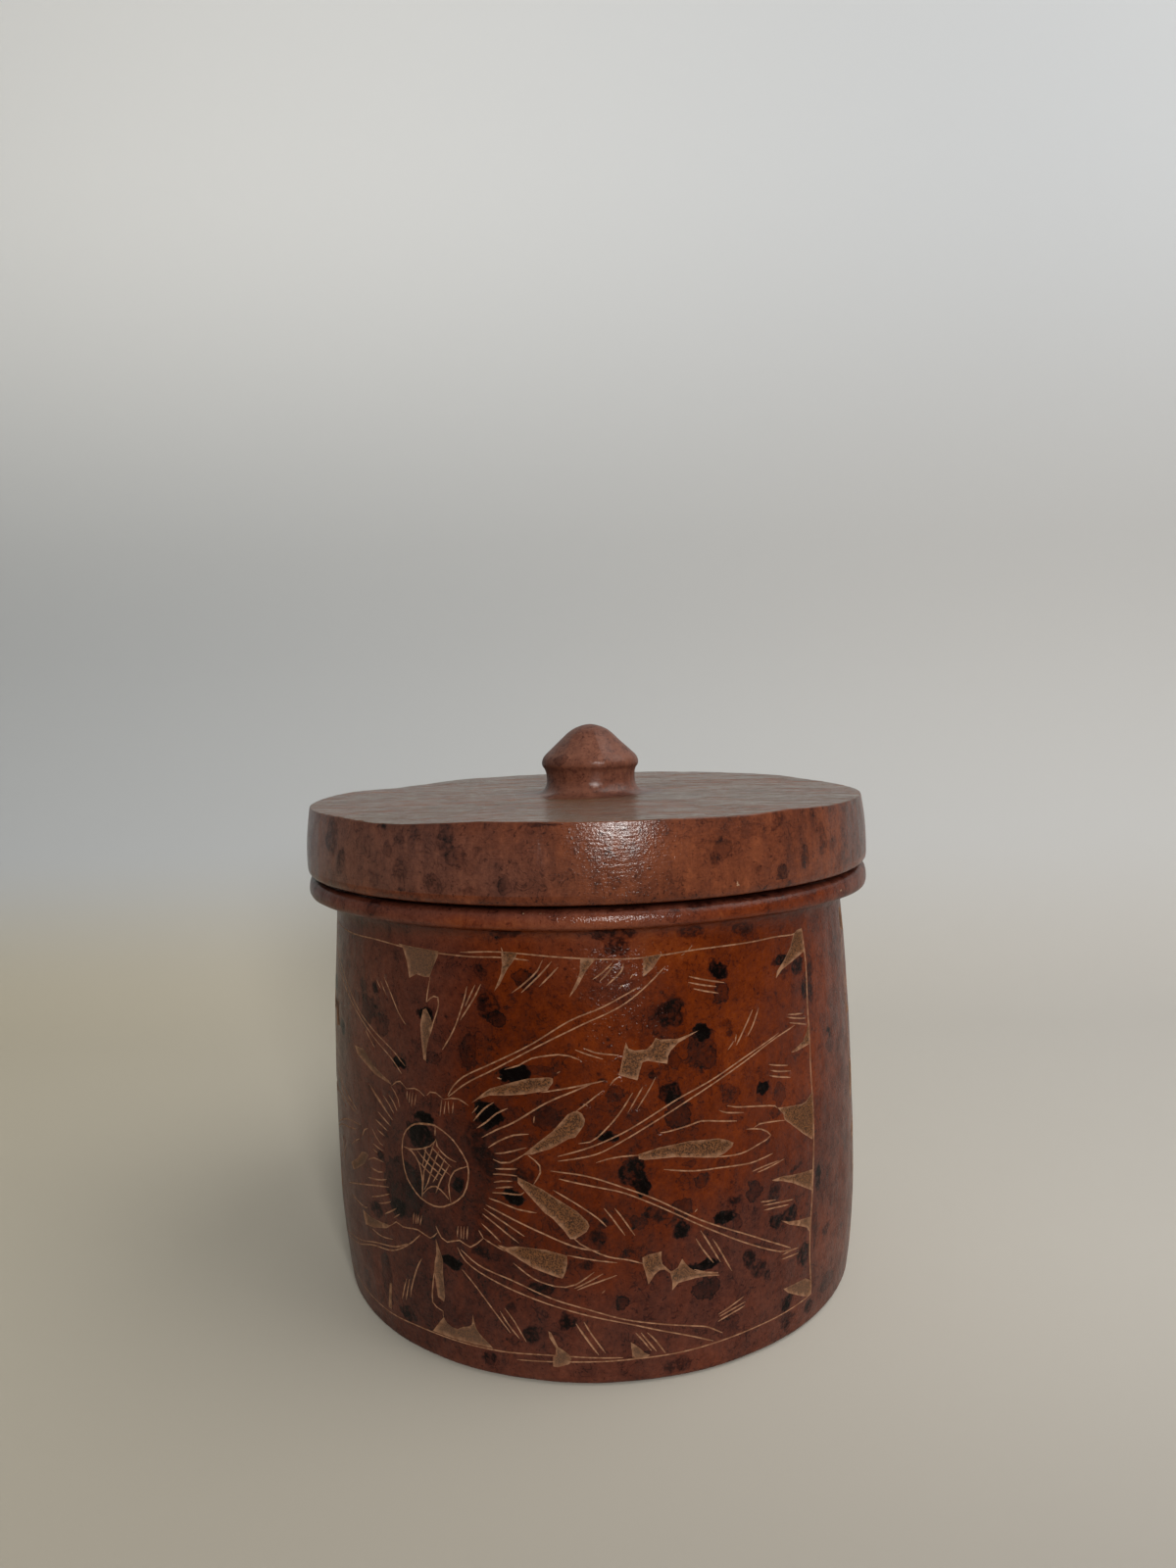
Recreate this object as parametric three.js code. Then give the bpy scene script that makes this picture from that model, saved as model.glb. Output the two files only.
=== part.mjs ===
// A carved soapstone jar with a lift-off lid. It is two stones: the jar, and the lid with its knob.
// Millimetres, +Z up, origin at the middle of the jar's foot. The front of the jar faces -Y.

import * as THREE from "three";

// Jar: the outside, from the foot up to the neck under the rim.
const JAR_HEIGHT = 93.8; // foot to the flat seat on top of the rim
const FOOT_RADIUS = 59.2;
const FOOT_ROUNDING = 3.2;
const BELLY_RADIUS = 61.1;
const BELLY_HEIGHT = 30;
const NECK_RADIUS = 59.1;
const FOOT_LEAN = 0.6; // the foot stands this far to +X of the mouth

// Jar: the rolled rim that carries the lid.
const RIM_STAND = 5.3; // how far the rim stands out from the neck
const RIM_THICKNESS = 4.3; // seat to the lower lip of the roll
const RIM_TOP_ROUNDING = 1.4;
const RIM_LOWER_ROUNDING = 2;
const COVE_HEIGHT = 3.2; // the hollow curve from the roll down to the neck

// Jar: the hollow.
const WALL = 8.6; // at the neck, where the jar is thinnest
const FLOOR = 10;
const HOLLOW_ROUNDING = 7; // where the wall runs into the floor
const MOUTH_BEVEL = 0.9;

// Lid: a thick disc, widest low down and drawn in towards the top.
const LID_THICKNESS = 15.6;
const LID_OVERHANG = 0.6; // how far the lid reaches past the rim
const LID_WIDEST_HEIGHT = 4.8; // above the lid's underside
const LID_LOWER_ROUNDING = 2.6;
const LID_TAPER = 1.5; // how far the side is drawn in at the top
const LID_TOP_ROUNDING = 1.9;
const LID_WAVE = 0.4; // the hand-cut top rises this much at front and back, and falls as much at the sides
const LID_RIPPLE = 0.2;

// Lid: the plug under it, which drops into the mouth and keeps the lid centred.
const PLUG_DEPTH = 6;
const PLUG_ROUNDING = 1.2;
const PLUG_CLEARANCE = 0.9; // all round, between the plug and the mouth
const SEAT_GAP = 0.3; // between the lid's underside and the rim

// Lid: the knob, a blunt cone over a waist that flares into the lid.
const KNOB_RADIUS = 11.4; // at the brow, the lower edge of the cone
const KNOB_CONE_HEIGHT = 9.7; // brow to tip
const KNOB_TIP_ROUNDING = 3.4;
const KNOB_UNDERCUT = 0.9; // how far the waist is cut in under the brow
const KNOB_STEM_HEIGHT = 3.6; // waist to brow
const KNOB_FLARE = 3.2; // how far the foot spreads from the waist
const KNOB_FLARE_HEIGHT = 2.9; // lid to waist
const KNOB_OFFSET = 0.9; // the knob stands this far to +X of the middle of the lid

const ROUND_STEPS = 60;
const CURVE_STEPS = 4;

const rimRadius = NECK_RADIUS + RIM_STAND;
const mouthRadius = NECK_RADIUS - WALL;
const lidUnderside = JAR_HEIGHT + SEAT_GAP;
const lidTop = lidUnderside + LID_THICKNESS;
const lidRadius = rimRadius + LID_OVERHANG;
const lidTopRadius = lidRadius - LID_TAPER;
const plugRadius = mouthRadius - PLUG_CLEARANCE;
const knobWaistRadius = KNOB_RADIUS - KNOB_UNDERCUT;
const knobFootRadius = knobWaistRadius + KNOB_FLARE;

const dyedStone = { color: 0x6b3320, roughness: 0.42, metalness: 0 };

// The jar's section, from the middle of its underside out, up, over the rim and down inside to the floor.
function jarSection() {
  const rollBottom = JAR_HEIGHT - RIM_THICKNESS;
  const neckTop = rollBottom - COVE_HEIGHT;
  const rollRadius = rimRadius - RIM_LOWER_ROUNDING;
  const seatBevel = JAR_HEIGHT - MOUTH_BEVEL;
  const section = new THREE.Path();
  section.moveTo(0, 0);
  section.lineTo(FOOT_RADIUS - FOOT_ROUNDING, 0);
  section.quadraticCurveTo(FOOT_RADIUS, 0, FOOT_RADIUS, FOOT_ROUNDING);
  section.quadraticCurveTo(BELLY_RADIUS, (FOOT_ROUNDING + BELLY_HEIGHT) / 2, BELLY_RADIUS, BELLY_HEIGHT);
  section.quadraticCurveTo(BELLY_RADIUS, (BELLY_HEIGHT + neckTop) / 2, NECK_RADIUS, neckTop);
  section.quadraticCurveTo(NECK_RADIUS, rollBottom, rollRadius, rollBottom);
  section.quadraticCurveTo(rimRadius, rollBottom, rimRadius, rollBottom + RIM_LOWER_ROUNDING);
  section.lineTo(rimRadius, JAR_HEIGHT - RIM_TOP_ROUNDING);
  section.quadraticCurveTo(rimRadius, JAR_HEIGHT, rimRadius - RIM_TOP_ROUNDING, JAR_HEIGHT);
  section.lineTo(mouthRadius + MOUTH_BEVEL, JAR_HEIGHT);
  section.lineTo(mouthRadius, seatBevel);
  section.lineTo(mouthRadius, FLOOR + HOLLOW_ROUNDING);
  section.quadraticCurveTo(mouthRadius, FLOOR, mouthRadius - HOLLOW_ROUNDING, FLOOR);
  section.lineTo(0, FLOOR);
  return section;
}

// The lid's section, from the middle of the plug out, up the side, over the top and up the knob to its tip.
function lidSection() {
  const plugBottom = lidUnderside - PLUG_DEPTH;
  const widest = lidUnderside + LID_WIDEST_HEIGHT;
  const sideTop = lidTop - LID_TOP_ROUNDING;
  const waist = lidTop + KNOB_FLARE_HEIGHT;
  const brow = waist + KNOB_STEM_HEIGHT;
  const tip = brow + KNOB_CONE_HEIGHT;
  const tipDrop = (KNOB_CONE_HEIGHT * KNOB_TIP_ROUNDING) / KNOB_RADIUS;
  const section = new THREE.Path();
  section.moveTo(0, plugBottom);
  section.lineTo(plugRadius - PLUG_ROUNDING, plugBottom);
  section.quadraticCurveTo(plugRadius, plugBottom, plugRadius, plugBottom + PLUG_ROUNDING);
  section.lineTo(plugRadius, lidUnderside);
  section.lineTo(lidRadius - LID_LOWER_ROUNDING, lidUnderside);
  section.quadraticCurveTo(lidRadius, lidUnderside, lidRadius, widest);
  section.quadraticCurveTo(lidRadius, (widest + sideTop) / 2, lidTopRadius, sideTop);
  section.quadraticCurveTo(lidTopRadius, lidTop, lidTopRadius - LID_TOP_ROUNDING, lidTop);
  section.lineTo(knobFootRadius, lidTop);
  section.quadraticCurveTo(knobWaistRadius, lidTop, knobWaistRadius, waist);
  section.quadraticCurveTo(knobWaistRadius, brow, KNOB_RADIUS, brow);
  section.lineTo(KNOB_TIP_ROUNDING, tip - tipDrop / 2);
  section.quadraticCurveTo(KNOB_TIP_ROUNDING / 2, tip, 0, tip);
  return section;
}

// Turns a section about the Z axis, then shifts each point of the surface as the carver's hand did.
function turned(name, section, carve) {
  const geometry = new THREE.LatheGeometry(section.getPoints(CURVE_STEPS), ROUND_STEPS);
  geometry.rotateX(Math.PI / 2);
  const position = geometry.getAttribute("position");
  const point = new THREE.Vector3();
  for (let i = 0; i < position.count; i++) {
    carve(point.fromBufferAttribute(position, i));
    position.setXYZ(i, point.x, point.y, point.z);
  }
  geometry.computeVertexNormals();
  const mesh = new THREE.Mesh(geometry, new THREE.MeshStandardMaterial(dyedStone));
  mesh.name = name;
  return mesh;
}

// The jar was cut by eye, so its foot isn't quite under its mouth.
function leanJar(point) {
  point.x += FOOT_LEAN * (1 - point.z / JAR_HEIGHT);
}

// The lid's top was rasped by hand, so its edge rises and falls, and the knob isn't quite in the middle.
function waveLid(point) {
  const angle = Math.atan2(point.y, point.x);
  const reach = Math.hypot(point.x, point.y);
  const share = THREE.MathUtils.smoothstep(point.z, lidUnderside + LID_WIDEST_HEIGHT, lidTop);
  const wave = LID_RIPPLE * Math.sin(5 * angle) - LID_WAVE * Math.cos(2 * angle);
  point.z += share * wave * (reach / lidTopRadius) ** 2;
  if (reach <= knobFootRadius) {
    point.x += share * KNOB_OFFSET;
  }
}

const container = new THREE.Group();
container.add(turned("jar", jarSection(), leanJar));
container.add(turned("lid", lidSection(), waveLid));

export default container;
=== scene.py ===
import math

import bpy
import numpy as np
from mathutils import Matrix, noise
from mathutils.geometry import delaunay_2d_cdt


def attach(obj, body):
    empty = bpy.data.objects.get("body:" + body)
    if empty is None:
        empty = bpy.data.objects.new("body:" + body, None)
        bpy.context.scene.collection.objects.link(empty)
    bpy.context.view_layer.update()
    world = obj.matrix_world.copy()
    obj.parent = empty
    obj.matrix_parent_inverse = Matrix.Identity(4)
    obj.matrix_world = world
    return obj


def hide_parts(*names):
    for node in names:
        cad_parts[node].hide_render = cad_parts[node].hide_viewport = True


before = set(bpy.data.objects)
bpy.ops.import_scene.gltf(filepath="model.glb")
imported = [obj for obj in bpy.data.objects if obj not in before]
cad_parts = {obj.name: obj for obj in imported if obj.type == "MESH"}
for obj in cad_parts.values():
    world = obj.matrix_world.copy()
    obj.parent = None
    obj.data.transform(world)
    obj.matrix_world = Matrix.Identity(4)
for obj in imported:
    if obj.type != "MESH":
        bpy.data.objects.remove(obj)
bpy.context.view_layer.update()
mm = 0.001


# The camera. It stands in front of the jar at about the height of the knob, looks slightly down,
# and is tilted a little, as a phone held in the hand is.
camera_lens = bpy.data.cameras.new("camera")
camera_lens.sensor_width = 36
camera_lens.lens = 24.95
camera_lens.clip_start = 0.01
camera_lens.clip_end = 20
camera = bpy.data.objects.new("camera", camera_lens)
camera.location = (0.70 * mm, -258.4 * mm, 132.2 * mm)
look_down = 0.08034
hand_tilt = -0.02671
looking = Matrix.Rotation(math.pi / 2 - look_down, 3, "X") @ Matrix.Rotation(hand_tilt, 3, "Z")
camera.rotation_euler = looking.to_euler()
bpy.context.scene.collection.objects.link(camera)
bpy.context.scene.camera = camera
bpy.context.scene.view_settings.view_transform = "Standard"


# The floor and the backdrop. One pale matt sheet lies under the jar, and sweeps up behind it in a
# wide bend, so that no edge shows. Its colour carries painted light and shade: lighter high up,
# brighter at the top left and darker at the top right, yellower on the floor to the left, and darker
# towards the front as a painted shadow.
def srgb(red, green, blue):
    """A colour as a paint chart gives it, 0 to 255, as the shader takes it."""
    shares = [c / 255 for c in (red, green, blue)]
    return (*[c / 12.92 if c <= 0.04045 else ((c + 0.055) / 1.055) ** 2.4 for c in shares], 1)


def new_material(name):
    material = bpy.data.materials.new(name)
    material.use_nodes = True
    surface = material.node_tree.nodes["Principled BSDF"]
    return material, surface, material.node_tree.links.new


def put(tree, kind, feeds=(), **settings):
    """A node of a tree. Feeds are its inputs by name or place, as a value or as another node's output."""
    node = tree.nodes.new(kind)
    for name, value in settings.items():
        setattr(node, name, value)
    for place, value in dict(feeds).items():
        if isinstance(value, bpy.types.NodeSocket):
            tree.links.new(value, node.inputs[place])
        else:
            node.inputs[place].default_value = value
    return node


def work_out(tree, operation, *values):
    """One step of arithmetic on the values of nodes, such as ADD or SINE."""
    return put(tree, "ShaderNodeMath", enumerate(values), operation=operation).outputs[0]


def times(tree, *values):
    return work_out(tree, "MULTIPLY", *values)


def fade(tree, value, start, end, low=0.0, high=1.0):
    """Low up to the start, high from the end, and smooth in between."""
    feeds = {0: value, 1: start, 2: end, 3: low, 4: high}
    return put(tree, "ShaderNodeMapRange", feeds, interpolation_type="SMOOTHSTEP").outputs[0]


def blend(tree, share, first, second):
    node = put(tree, "ShaderNodeMix", {"Factor": share}, data_type="RGBA")
    for place, colour in ((6, first), (7, second)):
        if isinstance(colour, bpy.types.NodeSocket):
            tree.links.new(colour, node.inputs[place])
        else:
            node.inputs[place].default_value = colour
    return node.outputs[2]


def looked_at(tree):
    """1 where the camera itself looks, and 0 for light and for reflections."""
    return put(tree, "ShaderNodeLightPath").outputs["Is Camera Ray"]


sweep_half_width = 6
sweep_front = -6
sweep_middle = -0.6
sweep_bend_start = 0.16
sweep_bend = 0.22
sweep_bend_steps = 12
sweep_top = 6
sweep_line = [(sweep_front, 0), (sweep_middle, 0), (sweep_bend_start, 0)]
for i in range(1, sweep_bend_steps + 1):
    turn = math.pi / 2 * i / sweep_bend_steps
    back = sweep_bend_start + sweep_bend * math.sin(turn)
    sweep_line.append((back, sweep_bend * (1 - math.cos(turn))))
sweep_line.append((sweep_bend_start + sweep_bend, sweep_top))
sweep_points = [(side * sweep_half_width, y, z) for y, z in sweep_line for side in (-1, 1)]
sweep_faces = [(2 * i, 2 * i + 1, 2 * i + 3, 2 * i + 2) for i in range(len(sweep_line) - 1)]
sweep_mesh = bpy.data.meshes.new("backdrop")
sweep_mesh.from_pydata(sweep_points, [], sweep_faces)
sweep_mesh.shade_smooth()
backdrop = bpy.data.objects.new("backdrop", sweep_mesh)
bpy.context.scene.collection.objects.link(backdrop)

cloth, cloth_surface, join = new_material("pale_backdrop")
cloth_tree = cloth.node_tree
cloth_place = put(cloth_tree, "ShaderNodeTexCoord").outputs["Object"]
cloth_side = put(cloth_tree, "ShaderNodeSeparateXYZ", {0: cloth_place}).outputs
up = fade(cloth_tree, cloth_side["Z"], 0.15, 0.45)
off_floor = fade(cloth_tree, cloth_side["Z"], 0.0, 0.06)
front_painted_shadow = fade(cloth_tree, cloth_side["Y"], 0.0, -0.3)
painted_light_leftwards = fade(cloth_tree, cloth_side["X"], 0.3, -0.35)
# Painted light and shade on the sheet: lighter with height and towards the top left, darker at the top
# right, and a painted shadow towards the front.
floor_with_painted_light = blend(cloth_tree, painted_light_leftwards, srgb(188, 185, 180), srgb(190, 182, 162))
low_with_painted_light = blend(cloth_tree, painted_light_leftwards, srgb(192, 192, 191), srgb(190, 193, 195))
high_with_painted_light = blend(cloth_tree, painted_light_leftwards, srgb(213, 217, 221), srgb(253, 255, 255))
shade = blend(cloth_tree, up, low_with_painted_light, high_with_painted_light)
shade = blend(cloth_tree, off_floor, floor_with_painted_light, shade)
shade = blend(cloth_tree, front_painted_shadow, shade, srgb(104, 95, 84))
join(shade, cloth_surface.inputs["Base Color"])
cloth_surface.inputs["Roughness"].default_value = 0.9
cloth_surface.inputs["Specular IOR Level"].default_value = 0.2
# Far off, the camera sees an even pale sheet, whatever light falls there.
far_off = put(cloth_tree, "ShaderNodeVectorMath", {0: cloth_place}, operation="LENGTH").outputs["Value"]
evened = times(cloth_tree, fade(cloth_tree, far_off, 0.75, 1.3), looked_at(cloth_tree))
pale = put(cloth_tree, "ShaderNodeEmission", {"Color": srgb(196, 196, 193)}).outputs[0]
layers = {0: evened, 1: cloth_surface.outputs[0], 2: pale}
mixed = put(cloth_tree, "ShaderNodeMixShader", layers).outputs[0]
join(mixed, cloth_tree.nodes["Material Output"].inputs["Surface"])
sweep_mesh.materials.append(cloth)


# The lamps. A small bright window stands in front and gives the glints, and a big soft one stands
# high on the right. The pale room fills the shadows, and the camera sees it brighter than it shines.
aim_height = 60 * mm
room_shines = 0.28
room_seen = 0.72


def window(name, azimuth, elevation, distance, width, height, power, colour):
    """A lamp that looks at the jar, in degrees, metres and watts. Azimuth 0 is in front, and 90 to the
    right."""
    lamp = bpy.data.lights.new(name, "AREA")
    lamp.shape = "RECTANGLE"
    lamp.size = width
    lamp.size_y = height
    lamp.energy = power
    lamp.color = colour
    body = bpy.data.objects.new(name, lamp)
    turn = Matrix.Rotation(math.radians(azimuth), 4, "Z")
    tip = Matrix.Rotation(math.radians(90 - elevation), 4, "X")
    aim = Matrix.Translation((0, 0, aim_height))
    body.matrix_world = aim @ turn @ tip @ Matrix.Translation((0, 0, distance))
    bpy.context.scene.collection.objects.link(body)


window("front_window", 12, 19.5, 0.85, 0.16, 0.22, 4.7, (1.0, 0.985, 0.96))
window("right_window", 78, 50, 1.1, 1.0, 1.1, 7.9, (1.0, 0.97, 0.93))
room = bpy.data.worlds.new("pale_room")
room.use_nodes = True
room_surface = room.node_tree.nodes["Background"]
room_surface.inputs["Color"].default_value = srgb(228, 228, 224)
room_strength = fade(room.node_tree, looked_at(room.node_tree), 0, 1, room_shines, room_seen)
room.node_tree.links.new(room_strength, room_surface.inputs["Strength"])
bpy.context.scene.world = room


# The jar. It is one soapstone, turned and hollowed by hand, dyed red-brown with darker drips of dye,
# varnished, and then cut with a knife through the dye: a large flower in a ruled frame, on the front
# and again on the back. Scraped leaves and scratched lines show the pale bare stone.
jar_height = 93.8
neck_top = 85.9
foot_rounding = 1.6
foot_lean = 0.6
seat_edge = 62.4
jar_row_spacing = 5
curve_steps = 10
# The stone's skin is made flat, as if it were unrolled from a cylinder of this radius.
unroll_radius = 60.4
half_turn = math.pi * unroll_radius


def section_of(start, *moves):
    """The points of a section. A move is one point for a straight cut, or two for a rounded one."""
    points = [start]
    for move in moves:
        if len(move) == 1:
            points.append(move[0])
            continue
        (x0, z0), (x1, z1), (x2, z2) = points[-1], move[0], move[1]
        for k in range(1, curve_steps + 1):
            t = k / curve_steps
            a, b, c = (1 - t) ** 2, 2 * t * (1 - t), t * t
            points.append((a * x0 + b * x1 + c * x2, a * z0 + b * z1 + c * z2))
    return np.array(points)


jar_section = section_of(
    (0, 0),
    [(58.2, 0)],
    [(59.7, 0), (59.75, foot_rounding)],
    [(61.35, 13.5), (61.35, 28)],
    [(61.35, 58.15), (59.1, neck_top)],
    [(59.1, 89.3), (61.9, 89.4)],
    [(64.95, 89.4), (64.95, 91.1)],
    [(64.95, 93.5), (62.9, jar_height)],
    [(51.4, jar_height)],
    [(50.5, 92.9)],
    [(50.5, 17)],
    [(50.5, 10), (43.5, 10)],
    [(0, 10)],
)


def length_along(section):
    """How far along its section each point lies."""
    return np.concatenate([[0], np.cumsum(np.hypot(*np.diff(section, axis=0).T))])


def rows_along(section, spacing):
    """Where a sheet's rows lie: at each point of the section, close to it where a straight cut starts
    or ends, and as often as the spacing says in between."""
    close = 0.3
    rows = [0.0]
    for reach in np.diff(length_along(section)):
        start = rows[-1]
        if reach > 4 * close:
            rows.append(start + close)
            inner = reach - 2 * close
            middle = max(1, math.ceil(inner / spacing))
            rows += [start + close + inner * k / middle for k in range(1, middle + 1)]
        rows.append(start + reach)
    return np.array(rows)


# The drawing of one panel, in millimetres round the jar from the front and up from its foot. The far
# stems, ticks and scrapes are cut a second time, turned over, on the left of the flower.
frame_lines = [
    [(-68, 83.5), (-60, 83.6), (-50, 84), (-40, 83.7), (-24, 83.4), (-17, 83.6), (-11.7, 83.2)],
    [(-26, 84.1), (-17.5, 84.6), (-5, 83.8), (3, 83.3), (10.5, 83.2), (21, 83.8), (34, 83.7),
     (41, 83.7), (46, 83.3), (49.7, 83.5)],
    [(-57, 5), (-49.5, 5), (-40, 5.6), (-20, 5.9), (-10, 6.4), (0, 6.1), (4, 5.9)],
    [(-17, 4.6), (-6, 5.2), (5, 5.4), (17, 5.6), (30, 6.3), (42, 6.6), (49.2, 6.9)],
    [(-17.2, 85.5), (-16.9, 84.4)],
    [(19.5, 83.8), (20.4, 84.7)],
    [(18, 83), (18.8, 83.4)],
    [(-116, 83.8), (-104, 83.5), (-92, 83.9), (-80, 83.6), (-68, 83.5)],
    [(-116, 6.6), (-104, 6.2), (-90, 5.6), (-74, 5.3), (-57, 5)],
]
frame_side = [
    [(49.8, 84), (50.3, 77), (49.9, 68), (49.9, 60), (49.7, 55), (50, 45), (49.5, 35), (49.1, 31),
     (48.4, 25), (47.9, 18), (48.7, 11), (49.2, 8), (49, 6.8)],
]
heart_ring = [
    (-41.8, 42), (-41.5, 44.8), (-40.3, 47), (-37.8, 48.8), (-35, 49.3), (-32.5, 49.5), (-29.2, 48),
    (-27.4, 46.4), (-25.3, 43.3), (-25.2, 40.2), (-26.5, 36.7), (-29.2, 34.5), (-31, 33.6),
    (-33.5, 33.2), (-37, 34), (-39, 35.4), (-40.6, 37.1), (-41.3, 38.8),
]
heart_lines = [
    [(-37.5, 49), (-35.5, 49.4), (-32.5, 49.7)],
    [(-41.3, 43.4), (-39, 43.4), (-36, 44.2), (-34, 45.1), (-32.8, 46.2), (-32.3, 47)],
    [(-32.5, 49.4), (-32.6, 47.5)],
    [(-32.4, 46.8), (-32.2, 45.5), (-30, 43.8), (-27.8, 43.1)],
    [(-41.3, 43.4), (-39, 43), (-37, 41), (-36.3, 37.5), (-36.5, 34.2)],
    [(-36.3, 34.9), (-35, 36.3), (-32.8, 37.3), (-30.5, 36), (-29.8, 35.3)],
    [(-29.3, 34.6), (-29.7, 38.2), (-28.3, 41.2), (-25.4, 42.6)],
    [(-33.9, 45.3), (-31.6, 43.6), (-29, 41.9)],
    [(-35.8, 44.4), (-33.5, 42.6), (-29.3, 40.2)],
    [(-37.5, 43.5), (-34.9, 41.7), (-30.9, 39.6)],
    [(-36.9, 41.2), (-34.5, 39.8), (-32.4, 38.7)],
    [(-34.9, 44.9), (-36.1, 40.7)],
    [(-32.9, 46), (-34.3, 42.7), (-35.8, 39.6), (-36.1, 36.5)],
    [(-31.8, 44.6), (-33.5, 40.9), (-34.9, 37.5), (-35.9, 35.8)],
    [(-30.4, 43.4), (-32, 40.3), (-33.6, 37.9)],
    [(-29.3, 42.4), (-31.5, 38.9), (-32.9, 35.9)],
]
scallops = [
    [(-44.5, 55.1), (-43, 56.2), (-41.8, 56.6), (-39.9, 55.5)],
    [(-39.8, 55.5), (-37.7, 56), (-36.5, 55.8), (-35, 54.9)],
    [(-34.4, 55.2), (-33.6, 56), (-32.2, 56.1), (-30.3, 55.1)],
    [(-30.3, 55.1), (-28.5, 55.6), (-26.8, 55.7), (-24.6, 54.7)],
    [(-44.8, 55), (-43.5, 54), (-42.5, 52.7), (-42.2, 51.3)],
    [(-46, 25.7), (-44.6, 26.8), (-42.5, 26.4), (-38, 27.1), (-34.8, 26.3), (-32.9, 27.9)],
    [(-33.2, 29.2), (-32, 27.1), (-30.6, 26.5), (-27.7, 27.5), (-25.3, 26.6), (-22.4, 28.9)],
    [(-23.3, 30.3), (-22.4, 28.9)],
    [(-39.8, 55), (-39.9, 53.3)],
    [(-39, 55), (-39.3, 52.8)],
    [(-38.2, 55), (-38.7, 52.1)],
    [(-37.3, 54.8), (-37.8, 52.5)],
    [(-30.7, 55), (-31.3, 51.6)],
    [(-29.8, 54.8), (-30.3, 52.2)],
    [(-29.2, 54.9), (-29.1, 52.5)],
    [(-28, 54.9), (-28.3, 52.7)],
    [(-39, 30.3), (-39.3, 28)],
    [(-38.3, 30.3), (-38.5, 28.2)],
    [(-37.7, 30.3), (-38, 28.4)],
    [(-36.8, 30.4), (-37.4, 28.2)],
    [(-27.9, 30.3), (-28.2, 28)],
    [(-27.2, 30.4), (-27.3, 27.9)],
    [(-26.5, 30.5), (-26.8, 27.9)],
    [(-25.7, 30.7), (-26, 28)],
]
rays = [
    [(-22.5, 54.9), (-23.9, 53.3)],
    [(-19.3, 55.9), (-21.2, 54.6), (-23.7, 51.8)],
    [(-16.5, 55), (-18.8, 53.8), (-21, 51.9), (-23, 50.5)],
    [(-22, 48.8), (-19, 50.6), (-15.5, 52.3), (-9, 56.4), (-3, 59), (0, 60.2)],
    [(-10, 58.4), (-7, 58.9), (-1, 60), (2.2, 60.6)],
    [(-20.7, 47), (-18.5, 48.5), (-15.5, 49.9), (-12.5, 50.3)],
    [(-19.4, 46), (-17.5, 46.3), (-13, 47.7)],
    [(-19.8, 44.8), (-18.3, 44.3), (-16.5, 44.5), (-13.5, 46.3)],
    [(-19.5, 43), (-17, 43.2), (-15, 43.4)],
    [(-20, 41.9), (-17.5, 42.1), (-15, 42)],
    [(-19.8, 40.3), (-18.3, 40.7), (-16, 40.9)],
    [(-19.5, 39.2), (-17.5, 39.6), (-16, 39.8)],
    [(-20.2, 38.2), (-17.5, 38.4), (-14.5, 38.4), (-13.7, 39)],
    [(-21, 37), (-18.5, 36.5), (-15.5, 35.6), (-11.5, 35.1)],
    [(-21.7, 35.6), (-18.5, 34.4), (-11.5, 31.6), (-4.5, 28.8), (0, 27.9)],
    [(-22.1, 34.8), (-16.5, 31.8), (-14, 30.3)],
    [(-22.4, 33.7), (-20, 32.2), (-15.2, 28.9)],
    [(-22.7, 31.8), (-20.5, 30.1), (-18.8, 28.6)],
    [(-12.8, 46.2), (-11.5, 45.3), (-10.6, 44.3), (-10.5, 43), (-11.9, 40.6)],
    [(-52, 52.8), (-48, 50.3), (-44.5, 48)],
    [(-53, 53.5), (-50.5, 52.2), (-46.7, 49.7)],
    [(-47.5, 52.5), (-45.5, 51), (-44, 49.5)],
    [(-45.5, 53), (-44, 51.8), (-43, 50.3)],
    [(-49.5, 48.5), (-47, 47.4), (-45.2, 46.6)],
    [(-50.5, 46.6), (-48.3, 46), (-46.3, 45.3)],
    [(-50, 44.7), (-47.3, 44)],
    [(-51.7, 41.2), (-48.2, 40.6)],
    [(-52, 40), (-50, 39.7)],
    [(-54, 37), (-51.5, 38.2), (-48, 38.3)],
    [(-53, 35.7), (-50, 35.7), (-48.2, 36.2)],
    [(-54.5, 33), (-50, 34), (-47.2, 34.9)],
    [(-66.5, 27.4), (-58, 30.3), (-50, 32.7), (-46.5, 33.5)],
    [(-53.5, 29.2), (-50, 30.5), (-46.4, 32.1)],
    [(-50.5, 28.8), (-48, 29.7), (-46, 30.6)],
    [(-48.3, 27.3), (-46, 28.6), (-44.3, 29.7)],
    [(-45.3, 27.4), (-43.3, 28.8)],
    [(-53.7, 43.7), (-55.3, 43), (-56.5, 41.2)],
    [(-52, 44.3), (-50.5, 43), (-49, 42), (-48, 41.8)],
]
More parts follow.
